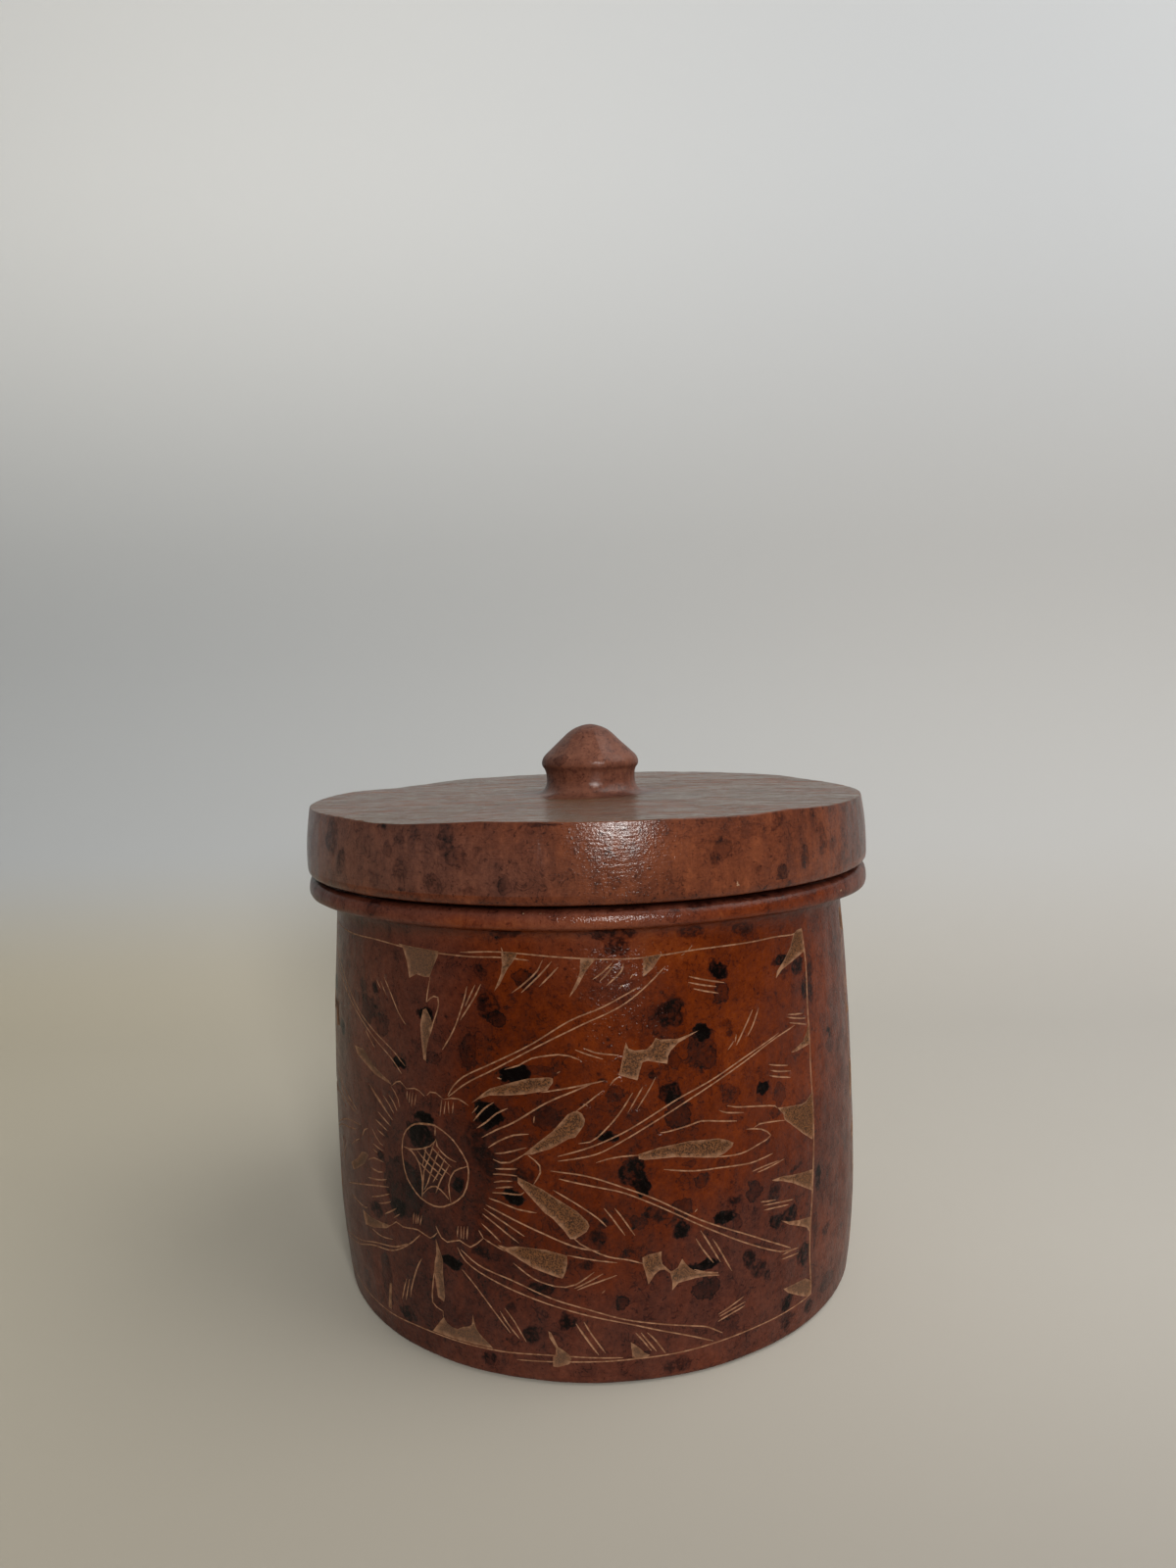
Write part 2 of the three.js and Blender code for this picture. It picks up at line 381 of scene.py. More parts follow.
near_stems = [
    [(-29.3, 56), (-28, 58), (-25.6, 60.2), (-20, 63.1), (-12, 67.2), (-4, 72), (2, 74.3), (9.5, 77.9)],
    [(-29.2, 55.8), (-25, 59), (-19, 62.3), (-10.5, 67), (-2, 71.1), (5.5, 74.3), (10, 77.3),
     (14.7, 81.3)],
    [(-17, 62.4), (-14, 63.4), (-11.5, 64.8), (-6.5, 65.6), (-4.5, 65.4), (-2, 64.4)],
    [(-3.2, 66.5), (-1.5, 65.8), (2, 64.6)],
    [(-1.6, 66.8), (0.5, 65.9), (5, 65.2)],
    [(-3.3, 55), (-2, 55.9), (1.7, 58.7)],
    [(-3.2, 48.7), (-1, 49), (0.5, 49.9), (4.5, 54), (7.3, 58)],
    [(-8.2, 39.7), (-4, 37.2), (0, 34.3), (1.6, 32.6)],
    [(-27.5, 25.7), (-23.7, 23.3), (-16.5, 21.1), (-9, 18.2), (-2, 16.1), (4.5, 13.9), (12, 12.1),
     (18.5, 10.5), (21, 9.7), (24.3, 7.6)],
    [(-28.3, 26), (-26.5, 23.5), (-21, 20.8), (-12.5, 17.9), (-4, 15.4), (5, 13), (11, 11),
     (17, 8.8), (22.3, 6.4)],
    [(-27.4, 21.6), (-25.3, 19.6), (-23, 16.9), (-19, 11.8), (-17.8, 10.2)],
    [(-19.7, 14.5), (-18.3, 12.2), (-16, 9.2)],
    [(-18.7, 15.3), (-17, 13), (-14.7, 8.7)],
    [(-16.5, 24.8), (-12.5, 22), (-8.5, 20.8), (-6.5, 20.7), (-4.5, 21.3), (-1, 23.8)],
    [(-4.8, 20.5), (-3, 21.4), (0.6, 23.4)],
    [(-4.3, 20.2), (-2, 21.2), (3.2, 23)],
    [(-6, 27.1), (0, 26), (3.3, 25.5)],
    [(-5, 30.8), (-3.5, 29.4), (1.5, 26.8), (5.5, 25.9), (8.2, 24.9)],
    [(-22.4, 28.9), (-20.5, 28), (-18, 26.9)],
    [(-33.3, 78.6), (-34.1, 75), (-34.3, 73.6), (-33.4, 74.4), (-32.4, 75), (-31.4, 74.9),
     (-31.2, 73.5), (-32.7, 69.4), (-33.5, 67)],
    [(-34.2, 19.8), (-35.1, 15.5), (-35.4, 12.6), (-34.4, 11.8), (-32.9, 11.4), (-33, 10.1)],
    [(5, 61.3), (3.8, 60.5), (3.1, 59.6)],
    [(5.7, 8.9), (5.9, 5.5)],
    [(-49.4, 75.8), (-48, 74.3)],
    [(-48, 75.8), (-46, 73.3)],
    [(-46.8, 76.8), (-45.2, 74.8), (-42, 70.3), (-40, 68.4)],
    [(-75.5, 77.9), (-68, 74.3), (-62, 70.9), (-56.5, 67.8), (-51, 65.4), (-44, 62.5), (-40.2, 60)],
    [(-80.7, 81.3), (-76, 77.3), (-68, 72.3), (-56, 66.5), (-50, 63.5), (-44.5, 60.8), (-41.2, 58.2)],
    [(-54, 64.6), (-52, 63), (-50.3, 61.7)],
    [(-63, 37.3), (-60, 39.2), (-58, 40.2)],
    [(-64.5, 25.6), (-57, 25.6), (-55.5, 26.1)],
    [(-54, 22), (-50, 21.8), (-46, 22.6)],
    [(-90.3, 7.6), (-84.5, 10.5), (-78, 12.1), (-68, 14.9), (-60, 17), (-53, 19.4), (-45, 21.3),
     (-42, 22.7)],
    [(-88.3, 6.4), (-83, 8.8), (-74.3, 12.2), (-62, 15.4), (-54, 18.4), (-46, 20.2), (-40.5, 23.5),
     (-37.4, 26.3)],
    [(-41.3, 23.2), (-43.6, 22), (-46, 21)],
]
near_ticks = [
    [(-24.6, 77.7), (-25.2, 75.2), (-27.8, 68.8), (-30.4, 64.8)],
    [(-22.8, 78.1), (-24, 75.8), (-25, 73.8)],
    [(-21.6, 78.3), (-22.9, 75.8), (-26.2, 71)],
    [(-9, 83.3), (-10, 81.3), (-13.5, 78.2), (-15.2, 77)],
    [(-7.2, 83.1), (-9.3, 80.8), (-13.3, 77.1)],
    [(-6, 82), (-7.8, 80.2), (-9.8, 78.3)],
    [(4.3, 82.5), (2.5, 80.9), (0.5, 79.6)],
    [(4.8, 82.3), (3.3, 80.6), (1.8, 79.2)],
    [(6.5, 82.4), (6, 80.9), (3, 78.3)],
    [(6.5, 10.9), (7.8, 9.3), (9.5, 6.8)],
    [(7.5, 10.9), (9, 8.7), (10.5, 6.6)],
    [(8.7, 10.8), (10.2, 9.1), (12.3, 5.9)],
    [(-4.8, 13.3), (-3.5, 11), (-1.1, 7.2)],
    [(-4.2, 12.4), (-0.7, 6.7)],
    [(-3.3, 13.7), (-2, 11.2), (0.6, 7.1)],
    [(-42.5, 15.3), (-43.6, 12.8), (-44.7, 10)],
    [(-41.6, 15.5), (-42.6, 12.7), (-43.4, 10.3)],
    [(-37.5, 21.2), (-39, 18.8), (-41.3, 13.5), (-41.9, 11.4)],
]
far_stems = [
    [(9.3, 59), (8.2, 57.3), (6.3, 54.3)],
    [(11.8, 60.6), (10.7, 58.7), (8, 54.8)],
    [(-7.2, 46.2), (-1, 48), (5, 50.4), (8, 51.9), (12, 54), (16, 56), (24, 59), (31, 61.8), (40, 64.7)],
    [(-7.2, 45.3), (0, 46.6), (5, 48.9), (12, 52.5), (20, 56.4), (29, 60.2), (38, 63.6), (45, 65.2)],
    [(0, 45), (2, 45.6), (5, 46), (8.2, 46)],
    [(-8.6, 43.4), (-2, 42.5), (5, 40), (11, 37.2), (20, 31.7), (30, 26.5), (38, 22.1), (41.5, 20.1)],
    [(-7, 41.9), (0, 40.3), (5, 39), (12, 35.5), (21, 30), (30, 24.7), (38.5, 20.4), (42, 19.6)],
    [(1.2, 36.2), (2.5, 34.5), (5, 30.7)],
    [(3.2, 36.1), (4.5, 34.3), (6.8, 30.6)],
    [(12.3, 49.9), (13.3, 49.9), (18, 50.6), (20.5, 51.1), (24, 50.5), (28.3, 49.7)],
    [(12.7, 42.8), (18.5, 41.7), (24, 41.3), (31, 40.7), (34, 40.9), (36.8, 41.2)],
    [(31.5, 38.9), (34, 39.2), (38.5, 39.3)],
    [(32.7, 38.4), (35, 38.6), (40, 39.2)],
    [(23.5, 43.5), (29, 43.1), (33.5, 44), (36.5, 44.9), (34, 46.8), (30.4, 47.6)],
    [(32.3, 47.5), (33.7, 47.9), (38.5, 47.3), (40.5, 46.9)],
    [(26.2, 53.1), (28, 52.5), (33.5, 51.5), (37.9, 50.5), (38.6, 49.9)],
    [(24.4, 52.5), (26, 51.8), (30, 51)],
    [(18.2, 22.2), (20.5, 21.2), (23.3, 20.5)],
    [(18.5, 20.8), (21, 20.4), (23.5, 19.9)],
]
far_ticks = [
    [(19.4, 78.9), (22, 78.1), (27, 76.8)],
    [(19.2, 77.8), (22.5, 76.9), (25.2, 76.3)],
    [(20.2, 76.5), (22.5, 75.8), (25.5, 75)],
    [(27, 63.8), (28.5, 65.3)],
    [(28.7, 65), (29.1, 66.5)],
    [(29, 64.4), (30, 65.8), (33.3, 70.6)],
    [(31.7, 65.7), (33, 67.3), (34.9, 70.7)],
    [(43, 67.8), (45, 67.4), (48, 66.9)],
    [(42.7, 67.3), (45, 66.6), (48.9, 65.7)],
    [(43.4, 66), (46, 65.3), (49, 64.4)],
    [(36.9, 59), (39, 58.4), (42.3, 57.6)],
    [(37.2, 57.8), (39, 57.2), (43, 56.3)],
    [(36.9, 56.8), (39, 56.1), (43, 55)],
    [(33.5, 32.2), (35, 31.9), (37.4, 31.5)],
    [(34, 31.3), (36.5, 31), (42.5, 30)],
    [(34.2, 30.3), (37, 30), (41, 29.4)],
    [(18.7, 28.3), (19.8, 26.3), (22.3, 22.7)],
    [(19.7, 29.7), (21, 27.5), (23.8, 22.5)],
    [(22.2, 27.5), (23.5, 25.3), (26.3, 20)],
    [(38.8, 18.6), (41, 18.4), (44, 18.1)],
    [(39, 19.5), (42, 19.5), (44, 19.2)],
    [(23.3, 11.8), (25.5, 12.6), (29, 14)],
    [(23.6, 11.3), (26, 12), (29.5, 12.8)],
    [(23.2, 10.3), (25, 10.9), (29.3, 12)],
]
nicks = [
    [(-11.5, 52.5), (-11.3, 53.8)],
    [(-1.8, 56.3), (-1.2, 55.9)],
    [(0.3, 19.5), (0.9, 20.1)],
    [(-6.8, 62.1), (-6.2, 62.4)],
    [(7.7, 79.5), (8.3, 80.3)],
    [(5.6, 77.9), (6.3, 78.4)],
    [(-18.5, 60.7), (-17.6, 60.5)],
    [(18.6, 33.6), (19.1, 34.1)],
    [(-70.4, 40.2), (-69.3, 40.9)],
    [(-84.2, 61), (-83.7, 60.2)],
    [(-104.5, 30.6), (-103.4, 30.2)],
]
near_scrapes = [
    [(-42.2, 84.2), (-41, 83.6), (-40.3, 82.5), (-39.5, 80.6), (-38.9, 77.8), (-36.9, 78.8),
     (-35, 78.5), (-33.5, 78.6), (-32.7, 80.2), (-31.3, 83), (-31.2, 83.9)],
    [(-34.4, 72.4), (-33.2, 70.7), (-32.8, 69.7), (-33.3, 68), (-34.3, 64.5), (-34.5, 62),
     (-35.1, 62.3), (-35.7, 66.5), (-35.9, 69), (-35.2, 72)],
    [(-33.4, 26.5), (-32.4, 24), (-31.9, 22.5), (-32.1, 20), (-32, 15), (-32.4, 13.6), (-33.8, 14.2),
     (-34.3, 19.5), (-34, 21.5), (-33.4, 23.5)],
    [(-36.3, 6), (-34, 8.8), (-32.9, 10.1), (-32.2, 9.1), (-31, 8.5), (-29.6, 8.5), (-28.3, 9.3),
     (-26.8, 9.8), (-26.1, 10.4), (-25.7, 12.6), (-25.3, 10), (-24.6, 8.8), (-23.6, 7.9), (-21.8, 6.2)],
    [(-17.2, 84.7), (-14, 84.6), (-14.3, 83.6), (-16.2, 81.2), (-17.6, 78.5), (-18.8, 77.1),
     (-17.4, 80.4), (-17.1, 82.2)],
    [(-1.7, 83.6), (1.2, 83.4), (-0.6, 81.4), (-2.6, 78), (-4.1, 76.3), (-2.4, 79.7), (-1.9, 81)],
    [(10.4, 83.3), (14.2, 83.7), (12.1, 81), (11, 80.2), (10.2, 79.7), (10.3, 81.5)],
    [(-24.6, 54.8), (-21.5, 57.4), (-20, 58.5), (-15, 60.2), (-12.5, 60.9), (-8.5, 61.3), (-7.6, 61.1),
     (-7.6, 60.3), (-8.7, 58.8), (-13, 57.9), (-17, 57.4), (-20, 57.2), (-22.5, 56.2), (-24, 55.3)],
    [(-13.8, 46.2), (-11, 48.6), (-8, 51), (-5, 54.3), (-4, 54.8), (-3.2, 55), (-2.3, 54.4),
     (-1.8, 53.3), (-2, 52.2), (-3.7, 49.9), (-5, 49.6), (-8.5, 47.6), (-10.5, 47), (-12, 46.4)],
    [(-15, 41.8), (-13.5, 41.2), (-10.3, 39.8), (-7, 37.7), (-4, 35.8), (-2, 33.8), (-1.6, 32.8),
     (-2.2, 31.7), (-4.3, 30.3), (-5.3, 30.3), (-6.5, 32), (-8.5, 34.2), (-10, 35.2), (-11.5, 36.9),
     (-14, 39.6), (-15, 40.7)],
    [(-19.5, 28), (-17.5, 27.8), (-15.5, 28.2), (-10, 28), (-6, 27), (-6, 25.5), (-6.4, 23.8),
     (-7, 22.4), (-8.2, 22.7), (-12.5, 24.1), (-16.5, 26.3), (-18.3, 27.2)],
    [(-10.2, 11.5), (-9.7, 11.2), (-8.5, 8.3), (-7.6, 7.7), (-6.4, 6.7), (-6, 5.8), (-6.5, 4.7),
     (-8.8, 3.9), (-9.7, 4), (-9.6, 6), (-9, 6.8), (-8.9, 8), (-10.1, 10.2)],
    [(5.5, 9.1), (7.3, 7.6), (8.1, 6.6), (9.2, 5.9), (8.5, 5.5), (6.1, 5.5), (5.6, 7.8)],
    [(-59.5, 60), (-55, 60.3), (-50.5, 57.7), (-45.5, 56), (-44.5, 55.3), (-50.5, 56.2), (-55.5, 57.8),
     (-58, 58.5)],
    [(-63.8, 33), (-60, 35.2), (-57, 37.7), (-55, 38.3), (-53.8, 38), (-56, 35.4), (-60, 33),
     (-62.3, 31.9)],
    [(-58, 24.7), (-54, 24.5), (-47, 25.3), (-45.5, 26), (-48, 24.3), (-53, 22.6), (-57, 21.8)],
    [(-47.9, 12.2), (-48.6, 12.2), (-50.3, 6), (-49.2, 6)],
]
far_scrapes = [
    [(8, 46.2), (12, 47.1), (18, 47.6), (24, 47.1), (26, 46.4), (27.3, 45.6), (27, 44.9), (25.5, 44),
     (23.5, 43.4), (18, 44.4), (15, 44.9), (9, 45), (8, 45.3)],
    [(6.4, 67.6), (6.8, 66.4), (8, 65.9), (10.3, 66), (11.3, 66.8), (12.1, 68), (12.9, 67.6),
     (16.5, 67.4), (20.9, 68.5), (16.5, 66.6), (15, 65.3), (14.4, 64.3), (14.2, 62.9), (12, 63.4),
     (10.5, 63.8), (9.4, 63.6), (8.9, 62.3), (8.3, 60.3), (7, 60.7), (4.7, 61.5), (5.2, 62.7), (5.9, 66)],
    [(8.1, 26.1), (9, 26.5), (11.8, 26.9), (11.7, 25.5), (11.9, 24.3), (13.6, 22.6), (14.9, 23.2),
     (15.8, 24.8), (16.5, 23.7), (17.3, 22.7), (18.5, 21.8), (23.4, 20.2), (18.5, 20.4), (15, 20.1),
     (13.7, 18.8), (13.8, 20.3), (13.4, 22.3), (12.3, 23.2), (11.3, 23.2), (10.4, 22.5), (9.1, 20.6),
     (8.8, 22.2), (8.1, 24.9)],
    [(49.7, 84), (50.2, 79.3), (46.5, 78.3), (42, 77), (40.1, 75.6), (40.6, 77), (43, 78.8),
     (45.5, 81.2), (46.7, 83.3), (48, 83.9)],
    [(43.4, 59.9), (47.5, 61.3), (49, 62.8), (49.8, 64.5), (50.2, 64), (50, 61.5), (49.8, 60.2),
     (45, 59.8)],
    [(38.7, 49.9), (43, 49.2), (46, 48.7), (47.5, 48.8), (49.5, 49.9), (50.1, 49.8), (50.2, 46),
     (50, 42), (49.3, 40.3), (46, 42.6), (42, 45.8), (40.5, 47), (40.2, 48.2), (39.3, 49.2)],
    [(36.4, 35.8), (39.5, 35.8), (42, 35.2), (49.3, 34), (49.3, 32), (48.9, 29.6), (45, 31.9),
     (42, 33.6), (39, 34.9), (37.5, 35.3)],
    [(38.8, 26.7), (41, 25.8), (44, 25.1), (48.2, 24.3), (48.2, 21.5), (47.6, 21.3), (46.7, 22.5),
     (45, 23.4), (41, 25.2)],
    [(39.5, 12), (44, 11.7), (46.8, 11.4), (48.2, 10.5), (49.2, 9.5), (49.3, 7), (48, 6.8),
     (45, 8.3), (41, 10.6)],
]
# Dye that dripped on the jar and dried: round the jar, up it, half width, half height, and how dark.
jar_drops = [
    (-15, 61.6, 3, 1.7, 0.97), (-20.5, 53.4, 2.9, 2.5, 0.97), (-16, 37.8, 2.2, 1.6, 0.95),
    (-29.5, 22.6, 2.3, 1.3, 1), (-35.2, 50.3, 2.3, 1.2, 0.9), (-42, 60.3, 2, 1.2, 0.8),
    (21.5, 68, 2, 1.4, 0.95), (2.1, 50, 1.8, 0.9, 0.85), (8.2, 40, 1.6, 1.4, 0.9),
    (6.5, 42.5, 2.6, 3, 0.48), (8, 44, 1, 1.5, 0.5), (24.5, 31.3, 2.8, 1.2, 0.7),
    (20.5, 22.8, 2.8, 1.1, 0.8), (25.7, 79.5, 2.1, 1.7, 0.75), (35.3, 55, 1.8, 1.1, 0.8),
    (15.3, 72.5, 2.8, 2.8, 0.36), (14.5, 57.3, 2.2, 2, 0.52), (-43.5, 82, 1.3, 1.2, 0.24),
    (-21.5, 80.8, 1.2, 1.3, 0.34), (-34.5, 71, 2, 1.3, 0.62), (-16, 88.4, 3.5, 1.2, 0.39),
    (-11.8, 77.5, 1.1, 0.8, 0.29), (-20, 74.5, 2.2, 2.8, 0.29), (4.3, 88, 4.6, 1.6, 0.46),
    (4.8, 85.8, 2.4, 1.8, 0.46), (-23.2, 48.5, 2.6, 3.4, 0.2), (-20.5, 44, 2.6, 2.2, 0.2),
    (-14, 42, 2.2, 1.6, 0.24),
    (-22.8, 3.6, 1.6, 1.6, 0.39), (-22.5, 26.3, 1.8, 1.3, 0.34), (-17.5, 15.5, 1.3, 1.2, 0.29),
    (-13.8, 10.5, 1.6, 2, 0.34), (-6.3, 13.7, 1.8, 1.8, 0.39), (-11.5, 20, 3, 1.3, 0.34),
    (-2.3, 25.3, 1.6, 1, 0.34), (0, 30.3, 1.5, 1.5, 0.29), (11.6, 69.3, 0.4, 1.5, 0.39),
    (1.6, 61.2, 0.9, 0.6, 0.5), (11, 62.3, 0.8, 0.6, 0.5), (11.3, 60.7, 0.9, 0.6, 0.5),
    (20.5, 87.4, 2.8, 1.2, 0.29), (9.9, 51.8, 0.7, 0.7, 0.5), (1.8, 33.4, 1.3, 0.7, 0.45),
    (11.5, 34.5, 2.5, 1.8, 0.29), (15.8, 30.6, 1.6, 1.5, 0.5), (15, 3, 2.4, 2, 0.29),
    (26.5, 69, 1.3, 0.8, 0.39), (27.7, 67.3, 0.8, 0.5, 0.39), (35, 73.8, 0.5, 0.4, 0.5),
    (41.5, 78.8, 2.3, 1, 0.62), (42, 76.5, 1.8, 0.8, 0.39), (32, 86.6, 2.4, 1.5, 0.29),
    (47.5, 77, 2.5, 1.8, 0.39), (49.3, 72, 1.3, 3, 0.39), (27.5, 33.8, 1.5, 1.2, 0.34),
    (43.7, 36.3, 1.8, 0.9, 0.5), (37, 33, 1.5, 2, 0.29), (37.2, 27, 1.6, 1.6, 0.45),
    (39.3, 25, 1.5, 1, 0.39), (41.5, 27, 2.2, 1.8, 0.45), (30.3, 21.8, 1.4, 1.6, 0.39),
    (32.5, 18.8, 2.3, 1.6, 0.34), (34.8, 17, 1, 1.5, 0.34), (41, 8.8, 1.6, 1.8, 0.5),
    (41.5, 4.5, 2.2, 1.8, 0.34), (46, 17, 2.2, 2.4, 0.39), (51.5, 75.8, 1.2, 2, 0.39),
    (51.3, 71, 1.2, 3, 0.39), (58.3, 60.7, 1, 0.8, 0.5), (51.2, 31.5, 1.3, 2.3, 0.39),
    (54.8, 19, 1.5, 1, 0.34), (49, 4.5, 2, 1.3, 0.39), (-43.2, 7.6, 2.5, 1.8, 0.39),
    (-43.5, 30, 2.5, 2, 0.34), (-36.5, 46.8, 4, 2.5, 0.5), (-28, 38.7, 1.7, 1.4, 0.56),
    (-49.8, 74, 1.3, 1, 0.39), (-51.5, 27.2, 2.3, 1.6, 0.39), (-49, 39.3, 1.3, 0.8, 0.39),
    (-28.8, 73.4, 0.4, 0.4, 0.5), (-29.5, 71.5, 0.4, 0.4, 0.5), (-5.3, 66.6, 0.4, 0.4, 0.5),
    (-20, 66.3, 0.5, 0.4, 0.5), (3, 68.2, 0.4, 0.4, 0.5), (20, 93.6, 2.6, 0.7, 0.24),
    (6, 93.8, 4, 0.5, 0.2), (30, 93.8, 5, 0.5, 0.2), (-68, 62, 2.2, 1.6, 0.5),
    (-72, 48, 1.4, 1.8, 0.4), (-77, 70, 2.4, 2, 0.6), (-80, 30, 2, 1.4, 0.85),
    (-84, 56, 1.6, 1.2, 0.4), (-88, 79, 2, 1.3, 0.5), (-90, 22, 2.6, 1.8, 0.5),
    (-93, 44, 2.2, 2.6, 0.65), (-97, 66, 1.5, 2, 0.4), (-101, 14, 1.8, 1.4, 0.4),
    (-103, 34, 2.4, 1.6, 0.5), (-106, 75, 2.2, 1.8, 0.8), (-109, 52, 1.8, 1.5, 0.35),
    (-113, 24, 2, 2.4, 0.5), (-116, 62, 1.4, 1.8, 0.4), (-120, 42, 2.2, 1.6, 0.4),
    (-122, 82, 2, 1.4, 0.4), (-74, 12, 2, 1.4, 0.4), (-66, 88, 2.4, 1.1, 0.3),
    (-95, 89, 2.8, 1.2, 0.3), (-118, 8, 2.2, 1.6, 0.3),
]
# Fainter drops with a darker rim, where they dried last.
jar_rings = [
    (-24.5, 65, 2, 3.8, 0.35), (-32.5, 63, 1.5, 1, 0.3), (-12.2, 80, 2.2, 1.7, 0.5),
    (-18.3, 71.8, 2.2, 1.3, 0.55), (-10, 62.5, 3, 1, 0.3), (-9, 53.5, 3, 2, 0.3),
    (-17, 9, 1.5, 1.3, 0.3), (14.5, 71, 3.8, 4, 0.2), (21.5, 65, 3.2, 4.5, 0.4),
    (15.5, 63.3, 1.8, 1.8, 0.35), (16, 53.3, 2.6, 2.8, 0.5), (4, 58, 1.8, 1.3, 0.35),
    (8.3, 53.5, 2, 1.7, 0.3), (20.3, 39.5, 1.6, 1.5, 0.45), (16.3, 35, 1.8, 2, 0.45),
    (17.7, 43.3, 1.2, 0.8, 0.3), (7.8, 33, 1.6, 1.5, 0.35), (3.8, 17.3, 1.3, 1.5, 0.5),
    (5.3, 27.3, 1.6, 1, 0.4), (20.5, 18, 3, 2.3, 0.5), (26.2, 74.7, 1.5, 2, 0.4),
    (34.5, 53, 1.3, 2, 0.3), (39.3, 52.5, 1.6, 1.6, 0.4), (27, 55.5, 1.8, 1.7, 0.3),
    (32, 35, 1.8, 2.1, 0.5), (37.7, 49, 1.5, 1.2, 0.35), (25, 42.2, 1.8, 1, 0.3),
    (27.5, 29, 1.2, 2.2, 0.35), (25.5, 8.5, 2.5, 2.5, 0.3), (59, 57.5, 2, 2.2, 0.35),
    (61, 66.5, 1.5, 1.5, 0.3), (49.6, 21, 1, 4, 0.4), (56.5, 6.5, 3, 2, 0.4),
    (64.5, 44.5, 1.5, 1, 0.3), (-34, 40, 4, 4, 0.3), (-42, 35, 6, 6, 0.4),
    (-55, 74, 1.2, 1, 0.35), (-58, 70.5, 1.2, 0.9, 0.3), (-52.5, 70, 2.8, 2, 0.45),
    (-53.5, 67, 2.3, 2, 0.4), (-47.5, 67, 2.3, 2, 0.4), (-49.5, 13, 1.8, 5, 0.35),
    (-59.5, 9, 2.2, 1.8, 0.35), (15, 92, 1.2, 1.3, 0.35), (-43, 92.3, 1.6, 1.6, 0.4),
    (-70, 75, 2, 1.6, 0.4), (-75, 38, 2.4, 2.6, 0.4), (-86, 64, 2.8, 3.2, 0.4),
    (-98, 52, 3, 2.4, 0.4), (-105, 22, 2.2, 1.6, 0.4), (-112, 70, 2.4, 2.8, 0.35),
    (-121, 30, 1.8, 2, 0.35), (-88, 10, 2, 1.5, 0.35),
]
# Where the dye soaked in more, or less: round the jar, up it, half width, half height, and how much.
# The patches at 70 and 64 round lighten the right side as painted light, for the pale sheen there.
jar_soaks_and_painted_light = [
    (-34, 41, 16, 20, 0.1), (-22, 45, 7, 9, 0.12), (8, 40, 8, 12, 0.05), (30, 18, 22, 14, 0.06),
    (38, 29, 8, 9, 0.07), (70, 50, 14, 50, -0.04), (30, 68, 20, 16, -0.05), (-10, 74, 14, 12, -0.02),
    (0, 91, 90, 3, -0.11), (-6, 90, 30, 5, -0.18), (66, 22, 14, 14, 0.06), (64, 74, 14, 16, -0.1),
    (0, 94.3, 400, 1.2, 0.22), (-26, 22, 16, 18, 0.13), (0, 26, 26, 14, 0.06), (8, 84, 20, 5, -0.13),
    (-52, 80, 8, 10, -0.1), (-22, 62, 12, 8, 0.08), (-34, 11, 16, 7, 0.09),
]
# Where the dye is more of a plum colour than brown: the same four measures, and how much.
# The plum at -62 and 72 round, on the jar's left and right sides, is plum dye and also painted sheen,
# and the plum at 3, 82 and 5, 74 below the rim is painted highlight haze.
jar_plum_and_sheen = [
    (-62, 45, 26, 60, 0.85), (-42, 80, 18, 26, 0.6), (-10, 4, 120, 21, 0.75), (72, 45, 22, 60, 0.65),
    (30, 28, 22, 15, 0.38), (-33, 36, 14, 20, 0.3), (4, 90, 20, 6, 0.3), (3, 82, 22, 8, 0.25),
    (5, 74, 10, 7, 0.2), (0, 91.5, 400, 2.4, 0.26), (0, 94.2, 400, 1.2, 0.9),
]
# Chips and worn edges where the pale stone shows: the same four measures, and how bare.
jar_chips = [
    (-25.2, 93.2, 0.22, 0.5, 1.05), (-26.3, 92.8, 0.3, 0.18, 0.95), (56, 91.5, 0.4, 0.4, 1),
    (-10, 93.2, 9, 0.4, 0.5), (12, 93.4, 7, 0.3, 0.42), (104, 93, 0.8, 0.6, 1),
    (-118, 91, 0.5, 0.5, 1), (150, 93.2, 8, 0.4, 0.5), (-80, 93.3, 7, 0.35, 0.45),
    (88, 1.2, 1.2, 0.6, 0.8), (-100, 1, 1.4, 0.5, 0.8),
]
# How far the rim's lower edge hangs below its height in front, by the angle round the jar, and the
# heights between which it hangs: not yet, fully, fully, no longer.
rim_falls = [
    (-120, 0.6), (-75, 0.5), (-45, 0.15), (-15, 0), (20, 0), (35, 0.2), (50, 0.6), (70, 1.2),
    (100, 1.3), (140, 0.9), (180, 0.6),
]
rim_fall_heights = [85, 88.4, 90, 92.6]

# The panel on the front, and the one on the back, share two upright edges half way between them.
panel_middle = -33
panel_left = panel_middle - half_turn / 2
panel_right = panel_middle + half_turn / 2
# The drops on the back are those in front, turned over and moved this far round.
back_drop_shift = 31


def mirrored(shapes):
    """The same shapes on the other side of the panel's middle."""
    return [[(2 * panel_middle - s, z) for s, z in shape] for shape in shapes]


def drawn(points, spacing):
    """A smooth line through given points, with a point about as often as the spacing says."""
    fewest = 2 if len(points) < 4 else 1
    knots = np.array(points, float)
    knots = np.vstack([2 * knots[0] - knots[1], knots, 2 * knots[-1] - knots[-2]])
    line = [knots[1]]
    for i in range(1, len(knots) - 2):
        before, here, there, after = knots[i - 1 : i + 3]
        gap = np.linalg.norm(there - here)
        leave = (there - before) / (np.linalg.norm(here - before) + gap) * gap
        arrive = (after - here) / (np.linalg.norm(after - there) + gap) * gap
        parts = max(fewest, round(gap / spacing))
        for t in np.arange(1, parts + 1) / parts:
            line.append(
                (2 * t**3 - 3 * t**2 + 1) * here
                + (t**3 - 2 * t**2 + t) * leave
                + (3 * t**2 - 2 * t**3) * there
                + (t**3 - t**2) * arrive
            )
    return np.array(line)


